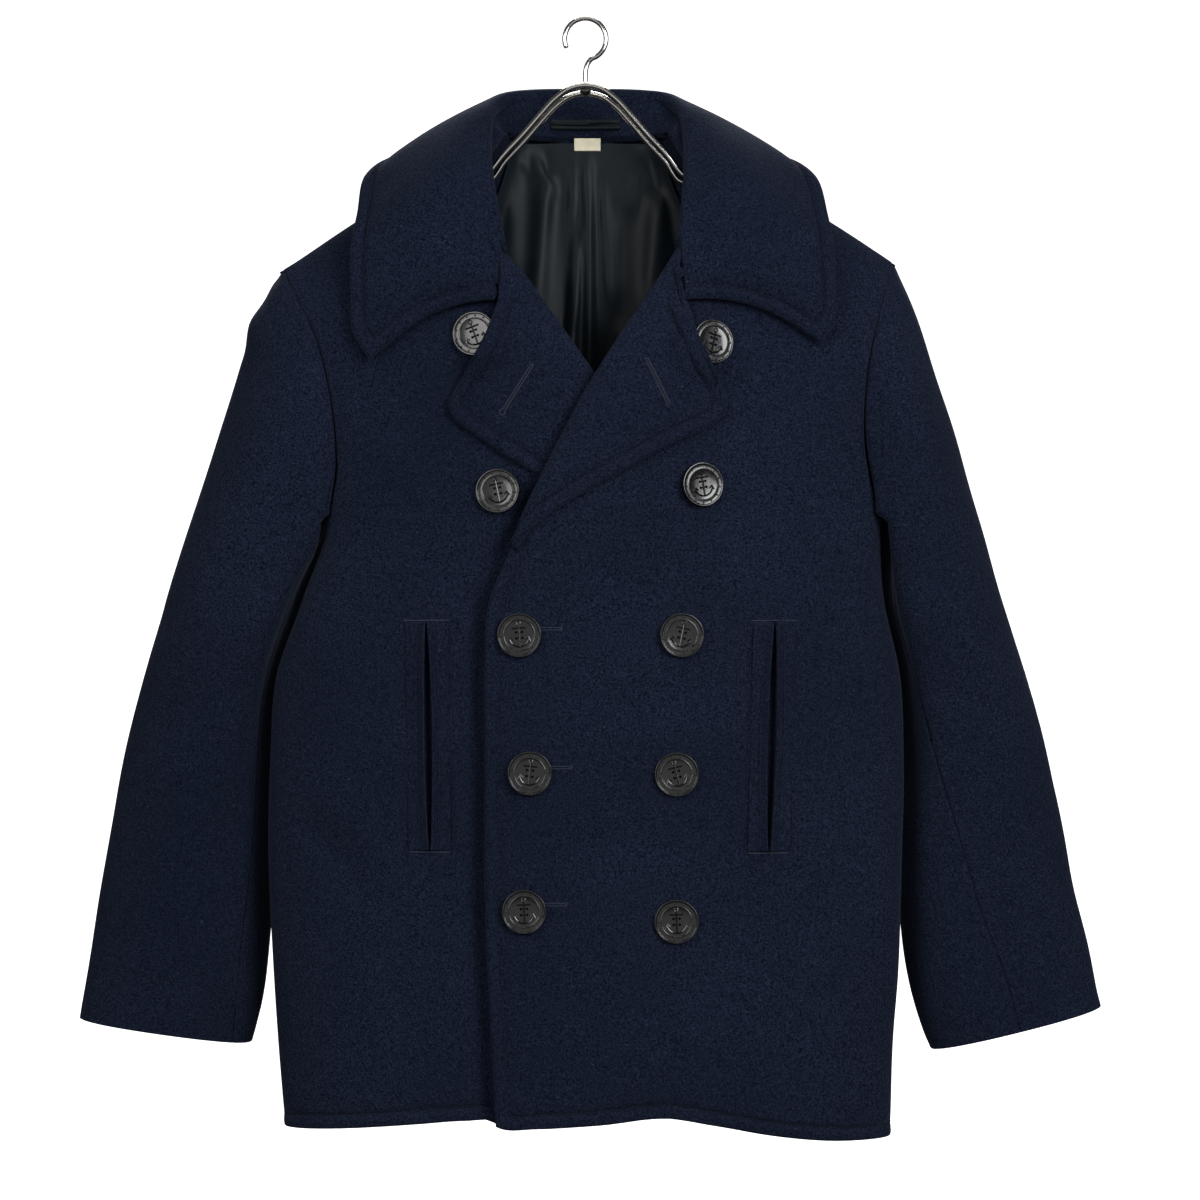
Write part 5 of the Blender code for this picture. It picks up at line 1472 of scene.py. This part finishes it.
# a button is modelled once, in metres, lying flat and face up
button = {"radius": 0.0175, "thick": 0.005, "rim": 0.0011, "dish": 0.0007, "band": 0.0032,
          "hole": 0.0011,
          "holeApart": 0.0024, "pips": 13, "pip": 0.00085, "anchor": 0.00068}


def only(*pieces):
    bpy.ops.object.select_all(action="DESELECT")
    for piece in pieces:
        piece.select_set(True)
    bpy.context.view_layer.objects.active = pieces[0]
    return pieces[0]


def faceUp(piece, height, reach):
    bpy.ops.mesh.select_all(action="DESELECT")
    edit = bmesh.from_edit_mesh(piece.data)
    for face in edit.faces:
        centre = face.calc_center_median()
        face.select = (face.normal.z > 0.9 and abs(centre.z - height) < 1e-5
                       and math.hypot(centre.x, centre.y) < reach)
    bmesh.update_edit_mesh(piece.data)


def modelButton():
    radius, thick = button["radius"], button["thick"]
    bpy.ops.object.select_all(action="DESELECT")
    bpy.ops.mesh.primitive_cylinder_add(vertices=64, radius=radius, depth=thick,
                                        location=(0, 0, thick / 2))
    disc = bpy.context.object
    bpy.ops.object.mode_set(mode="EDIT")
    bpy.ops.mesh.select_mode(type="FACE")
    faceUp(disc, thick / 2, 0.001)
    bpy.ops.mesh.inset(thickness=button["rim"], depth=0)
    bpy.ops.mesh.inset(thickness=0.0005, depth=-button["dish"])
    bpy.ops.mesh.inset(thickness=button["band"], depth=0)
    bpy.ops.mesh.inset(thickness=0.00035, depth=0.0003)
    bpy.ops.mesh.inset(thickness=0.0004, depth=-0.0004)
    bpy.ops.mesh.inset(thickness=0.0050, depth=-0.0002)
    bpy.ops.object.mode_set(mode="OBJECT")
    bevel = disc.modifiers.new("edge", "BEVEL")
    bevel.width = 0.0009
    bevel.segments = 3
    bevel.limit_method = "ANGLE"
    bevel.angle_limit = math.radians(40)
    only(disc)
    bpy.ops.object.modifier_apply(modifier="edge")
    apart = button["holeApart"]
    for x, y in ((apart, apart), (-apart, apart), (-apart, -apart), (apart, -apart)):
        bpy.ops.object.select_all(action="DESELECT")
        bpy.ops.mesh.primitive_cylinder_add(vertices=16, radius=button["hole"], depth=0.02,
                                            location=(x, y, 0))
        drill = bpy.context.object
        cutter = disc.modifiers.new("hole", "BOOLEAN")
        cutter.operation = "DIFFERENCE"
        cutter.object = drill
        only(disc)
        bpy.ops.object.modifier_apply(modifier="hole")
        bpy.data.objects.remove(drill, do_unlink=True)
    return disc


# A round bar in the button's face, through these places.
def bar(places, width, height):
    line = bpy.data.curves.new("bar", "CURVE")
    line.dimensions = "3D"
    line.bevel_depth = width
    line.bevel_resolution = 2
    spline = line.splines.new("POLY")
    spline.points.add(len(places) - 1)
    for point, (x, y) in zip(spline.points, places):
        point.co = (x, y, height, 1)
    line.use_fill_caps = True
    piece = bpy.data.objects.new("bar", line)
    bpy.context.scene.collection.objects.link(piece)
    only(piece)
    bpy.ops.object.convert(target="MESH")
    return bpy.context.object


def modelMotif():
    face = button["thick"] - button["dish"]
    width = button["anchor"]
    shank, stock = [(0, 0.0082), (0, -0.0092)], [(-0.0056, 0.0056), (0.0056, 0.0056)]
    arms = [(0.0080 * math.cos(a), -0.0012 + 0.0080
             * math.sin(a)) for a in np.radians(np.linspace(-166, -14, 15))]
    ring = [(0.0015 * math.cos(a), 0.0096 + 0.0015
             * math.sin(a)) for a in np.radians(np.linspace(0, 360, 13))]
    bars = [bar(shank, width, face), bar(arms, width * 1.1, face), bar(stock, width, face),
            bar(ring, width * 0.7, face)]
    for sign in (-1, 1):
        tip = (sign * 0.0077, -0.0030)
        bars.append(bar([(tip[0] - sign * 0.0026, tip[1] - 0.0008),
                         (tip[0] - sign * 0.0004, tip[1] + 0.0012),
                         (tip[0] + sign * 0.0011, tip[1] - 0.0022)], width, face))
    for k in range(button["pips"]):
        angle = 2 * math.pi * k / button["pips"] + 0.2
        bpy.ops.object.select_all(action="DESELECT")
        reach = button["radius"] - button["rim"] - button["band"] * 0.55
        bpy.ops.mesh.primitive_ico_sphere_add(subdivisions=2, radius=button["pip"], location=(
            reach * math.cos(angle), reach * math.sin(angle), face))
        bars.append(bpy.context.object)
    return bars


def buildButtons():
    disc = modelButton()
    bars = modelMotif()
    only(disc, *bars)
    bpy.ops.object.join()
    disc.data.materials.clear()
    disc.data.materials.append(plastic)
    bpy.ops.object.transform_apply(location=True, rotation=True, scale=True)
    bpy.ops.object.shade_smooth_by_angle(angle=math.radians(34))
    apart = button["holeApart"] * 1000
    tree = treeOf("front_overlap", "front_underlap")
    sides = np.arange(24) * 2 * math.pi / 24
    for name, across, height, turn, tilt in buttons:
        centre, right, up, out = buttonPlace(across, height, turn, tilt)
        gaps = []
        for share, rise in ((0.62, 0), (0.92, 0.8), (1.0, 2.4)):
            for angle in sides:
                place = centre + (right * math.cos(angle) + up
                                  * math.sin(angle)) * share * buttonWidth / 2
                hit = tree.ray_cast(Vector(place + out * (rise + 25)), Vector(-out))[3]
                gaps.append((hit or 25) - 25)
        centre = centre - out * (min(gaps) - buttonGap)
        turnInto = Matrix(np.column_stack([-right, -up, out]).tolist()).to_4x4()
        turnInto.translation = Vector(centre * 0.001)
        mesh = disc.data.copy()
        mesh.name = name
        mesh.transform(turnInto)
        piece = bpy.data.objects.new("dressed_" + name, mesh)
        bpy.context.scene.collection.objects.link(piece)
        declare(piece, [name])
        faceHeight = buttonThick - button["dish"] * 1000 - 0.4
        starts, ends = [], []
        for sign in (-1, 1):
            for shift in (-0.35, 0.35):
                starts.append(centre + right * -apart + up * (sign * apart + shift) + out
                              * faceHeight)
                ends.append(centre + right * apart + up * (sign * apart + shift) + out * faceHeight)
        outward = np.broadcast_to(out, (len(starts), 3))
        declare(threadMesh("thread_" + name, [threads(np.array(starts), np.array(ends), outward,
                                                      0.7, 0.7)]))
    bpy.data.objects.remove(disc, do_unlink=True)


buildButtons()
print("buttons sewn on")


# hanger
wireHalves = {
    "front": (
        "-14 -12 -58 -25 -12 -66 -37 -12 -79 -50 -12 -94 "
        "-66 -12 -111 -80 -12 -128 -92 -12 -139.7 -103.8 -12 -143.8 "
        "-115.6 -12 -145.1 -127.5 -12 -149.7 -139.3 -12 -156 "
        "-151.1 -12 -162.9 -162.9 -12 -169.9 -174.7 -12 -177.5 "
        "-186.5 -12 -185 -198.4 -12 -193.5 -210.2 -12 -202.2 "
        "-222 -12 -211.7 -229 -8.64 -211.7 -233 -2.8 -207.6",
        "14 -12 -58 25 -12 -66 37 -12 -79 50 -12 -94 "
        "66 -12 -111 80 -12 -128 92 -12 -134.9 103.8 -12 -140.6 "
        "115.6 -12 -142.5 127.5 -12 -146.1 139.3 -12 -152.1 "
        "151.1 -12 -158.4 162.9 -12 -164.6 174.7 -12 -171.1 "
        "186.5 -12 -177.7 198.4 -12 -185.2 210.2 -12 -193.3 "
        "222 -12 -201.9 229 -8.64 -202.3 233 -2.8 -197.8"),
    "back": (
        "-14 12 -60.5 -25 12 -68.5 -37 12 -81.5 -50 12 "
        "-96.5 -66 12 -113.5 -80 12 -130.5 -92 12 -132.7 "
        "-103.8 12 -145.8 -115.6 12 -151.1 -127.5 12 -155.5 "
        "-139.3 12 -159.6 -151.1 12 -166.3 -162.9 12 -173.9 "
        "-174.7 12 -181.5 -186.5 12 -190.2 -198.4 12 -199.3 "
        "-210.2 12 -210.6 -222 12 -225.7 -229 8.64 -223.3 "
        "-233 2.8 -211",
        "14 12 -60.5 25 12 -68.5 37 12 -81.5 50 12 -96.5 "
        "66 12 -113.5 80 12 -130.5 92 12 -127.9 103.8 12 -141.2 "
        "115.6 12 -147.5 127.5 12 -151.9 139.3 12 -156.3 "
        "151.1 12 -162 162.9 12 -168.8 174.7 12 -175.3 "
        "186.5 12 -182.9 198.4 12 -191.6 210.2 12 -202.1 "
        "222 12 -213.5 229 8.64 -211.1 233 2.8 -201.4"),
}


def roundBar(name, path, width, sides, finish):
    path = np.asarray(path, float)
    along = unit(np.gradient(path, axis=0))
    side = unit(np.cross(along, np.array([0.0, 1.0, 0.0])))
    up = np.cross(side, along)
    angles = np.arange(sides) * 2 * math.pi / sides
    ease = np.ones(len(path))
    ease[[0, -1]] = 0.78
    rings = path[:, None] + width / 2 * ease[:, None, None] * (np.cos(angles)[None, :, None]
                                                               * side[:, None]
                                                               + np.sin(angles)[None, :, None]
                                                               * up[:, None])
    count = len(path) * sides
    faces = [tuple(range(sides))[::-1], tuple(range(count - sides, count))]
    for r in range(len(path) - 1):
        for c in range(sides):
            n = (c + 1) % sides
            faces.append((r * sides + c, r * sides + n, (r + 1) * sides + n, (r + 1) * sides + c))
    return threadMesh(name, [(list(rings.reshape(-1, 3)), faces)], finish)


def buildHanger():
    for word, halves in wireHalves.items():
        left, right = (np.array(half.split(), float).reshape(-1, 3) for half in halves)
        sign = -1 if word == "front" else 1
        middle = np.array([[0, sign * wireApart / 2,
                            hangerArch[0][1] - (0 if word == "front" else 2.5)]])
        path = np.concatenate([left[::-1], middle, right])
        run = np.concatenate([[0], np.cumsum(np.linalg.norm(np.diff(path, axis=0), axis=1))])
        path = curve(run, path, run[-1] * np.linspace(0, 1, 170))
        piece = roundBar(f"dressed_wire_{word}", path, wireWidth, 16, chrome)
        declare(piece, [f"hanger_wire_{word}"])
    radius = hookInside + hookWire / 2
    stem = [(0, 0, hangerArch[0][1] + 1.5), (0, 0, -46), (0.4, 0, -40), (1.8, 0, -35.5)]
    arc = [(radius * math.cos(a), 0, -hookInside + radius
            * math.sin(a)) for a in np.radians(np.linspace(-72, 205, 24))]
    path = np.array(stem + arc, float)
    run = np.concatenate([[0], np.cumsum(np.linalg.norm(np.diff(path, axis=0), axis=1))])
    path = curve(run, path, np.linspace(0, run[-1], 110))
    declare(roundBar("dressed_hook", path, hookWire, 16, chrome), ["hanger_hook"])
    bpy.ops.object.select_all(action="DESELECT")
    reach = wireApart / 2 - wireWidth / 2 - 0.3
    bpy.ops.mesh.primitive_cylinder_add(vertices=12, radius=0.0046, depth=2 * reach * 0.001)
    nut = bpy.context.object
    nut.name = nut.data.name = "dressed_nut"
    nut.rotation_euler = (math.radians(90), 0, 0)
    nut.scale = (1, 0.72, 1)
    nut.location = (0, 0, (hangerArch[0][1] - 1.9) * 0.001)
    bpy.ops.object.transform_apply(location=True, rotation=True, scale=True)
    bevel = nut.modifiers.new("edge", "BEVEL")
    bevel.width, bevel.segments = 0.0007, 3
    only(nut)
    bpy.ops.object.modifier_apply(modifier="edge")
    bpy.ops.object.shade_smooth_by_angle(angle=math.radians(30))
    nut.data.materials.append(steel)
    declare(nut, ["hanger_nut"])


buildHanger()
print("hanger in")


# studio
studio = {"floor": -1.3, "radius": 3.9, "turn": 1.2, "top": 4.2}


# A round paper room: floor, a soft turn, wall and ceiling, so that it is plain from every side.
def buildStudio():
    radius, turn = studio["radius"], studio["turn"]
    profile = [(0.02, studio["floor"]), (radius - turn, studio["floor"])]
    for angle in np.radians(np.linspace(-80, 90, 18)):
        rise = turn if angle < 0 else studio["top"] - studio["floor"] - turn
        profile.append((radius - turn + turn * math.cos(angle),
                        studio["floor"] + turn + rise * math.sin(angle)))
    profile.append((0.02, studio["top"]))
    sides = 48
    vertices = [(reach * math.cos(2 * math.pi * k / sides),
                 reach * math.sin(2 * math.pi * k / sides), height)
                for reach, height in profile for k in range(sides)]
    faces = [(r * sides + k, (r + 1) * sides + k, (r + 1) * sides + (k + 1) % sides,
              r * sides + (k + 1) % sides)
             for r in range(len(profile) - 1) for k in range(sides)]
    mesh = bpy.data.meshes.new("backdrop")
    mesh.from_pydata(vertices, [], faces)
    mesh.shade_smooth()
    paper = Finish("backdrop paper", {"Roughness": 0.95, "Specular IOR Level": 0.1,
                                      "Emission Strength": 0.95,
                                      "Emission Color": colour(1, 1, 1),
                                      "Base Color": colour(0.9, 0.9, 0.9)})
    mesh.materials.append(paper.made)
    backdrop = bpy.data.objects.new("backdrop", mesh)
    bpy.context.scene.collection.objects.link(backdrop)
    # it is only seen, so no light comes off it and it throws no shadow
    backdrop.visible_diffuse = backdrop.visible_glossy = backdrop.visible_shadow = False


def addLight(name, place, aim, size, power, tint=(1, 1, 1)):
    light = bpy.data.lights.new(name, "AREA")
    light.shape = "RECTANGLE"
    light.size, light.size_y = size
    light.energy = power
    light.color = tint
    piece = bpy.data.objects.new(name, light)
    piece.location = place
    piece.rotation_euler = (Vector(aim) - Vector(place)).to_track_quat("-Z", "Y").to_euler()
    bpy.context.scene.collection.objects.link(piece)


buildStudio()
addLight("key left", (-1.7, -2.2, 0.2), (0, 0, -0.5), (1.4, 1.4), 24, (1.0, 0.985, 0.96))
addLight("key right", (1.5, -2.2, 0.35), (0, 0, -0.55), (1.3, 1.3), 44, (0.98, 0.985, 1.0))
addLight("top", (0, -1.3, 1.9), (0, 0, -0.5), (1.6, 0.8), 8)
addLight("front", (0, -3.4, -0.3), (0, 0, -0.5), (3.2, 2.2), 9)
addLight("back", (0, 2.3, 1.9), (0, 0, -0.5), (1.8, 1.0), 80)
world = bpy.data.worlds.new("studio")
world.use_nodes = True
world.node_tree.nodes["Background"].inputs["Color"].default_value = (0.9, 0.93, 1.0, 1)
world.node_tree.nodes["Background"].inputs["Strength"].default_value = 0.06
bpy.context.scene.world = world
lens = bpy.data.cameras.new("camera")
lens.lens, lens.sensor_width = 90, 36
camera = bpy.data.objects.new("camera", lens)
camera.location = (0.012, -2.46, -0.475)
camera.rotation_euler = (math.radians(90), 0, 0)
bpy.context.scene.collection.objects.link(camera)
bpy.context.scene.camera = camera
bpy.context.scene.view_settings.view_transform = "Standard"
print("studio lit")
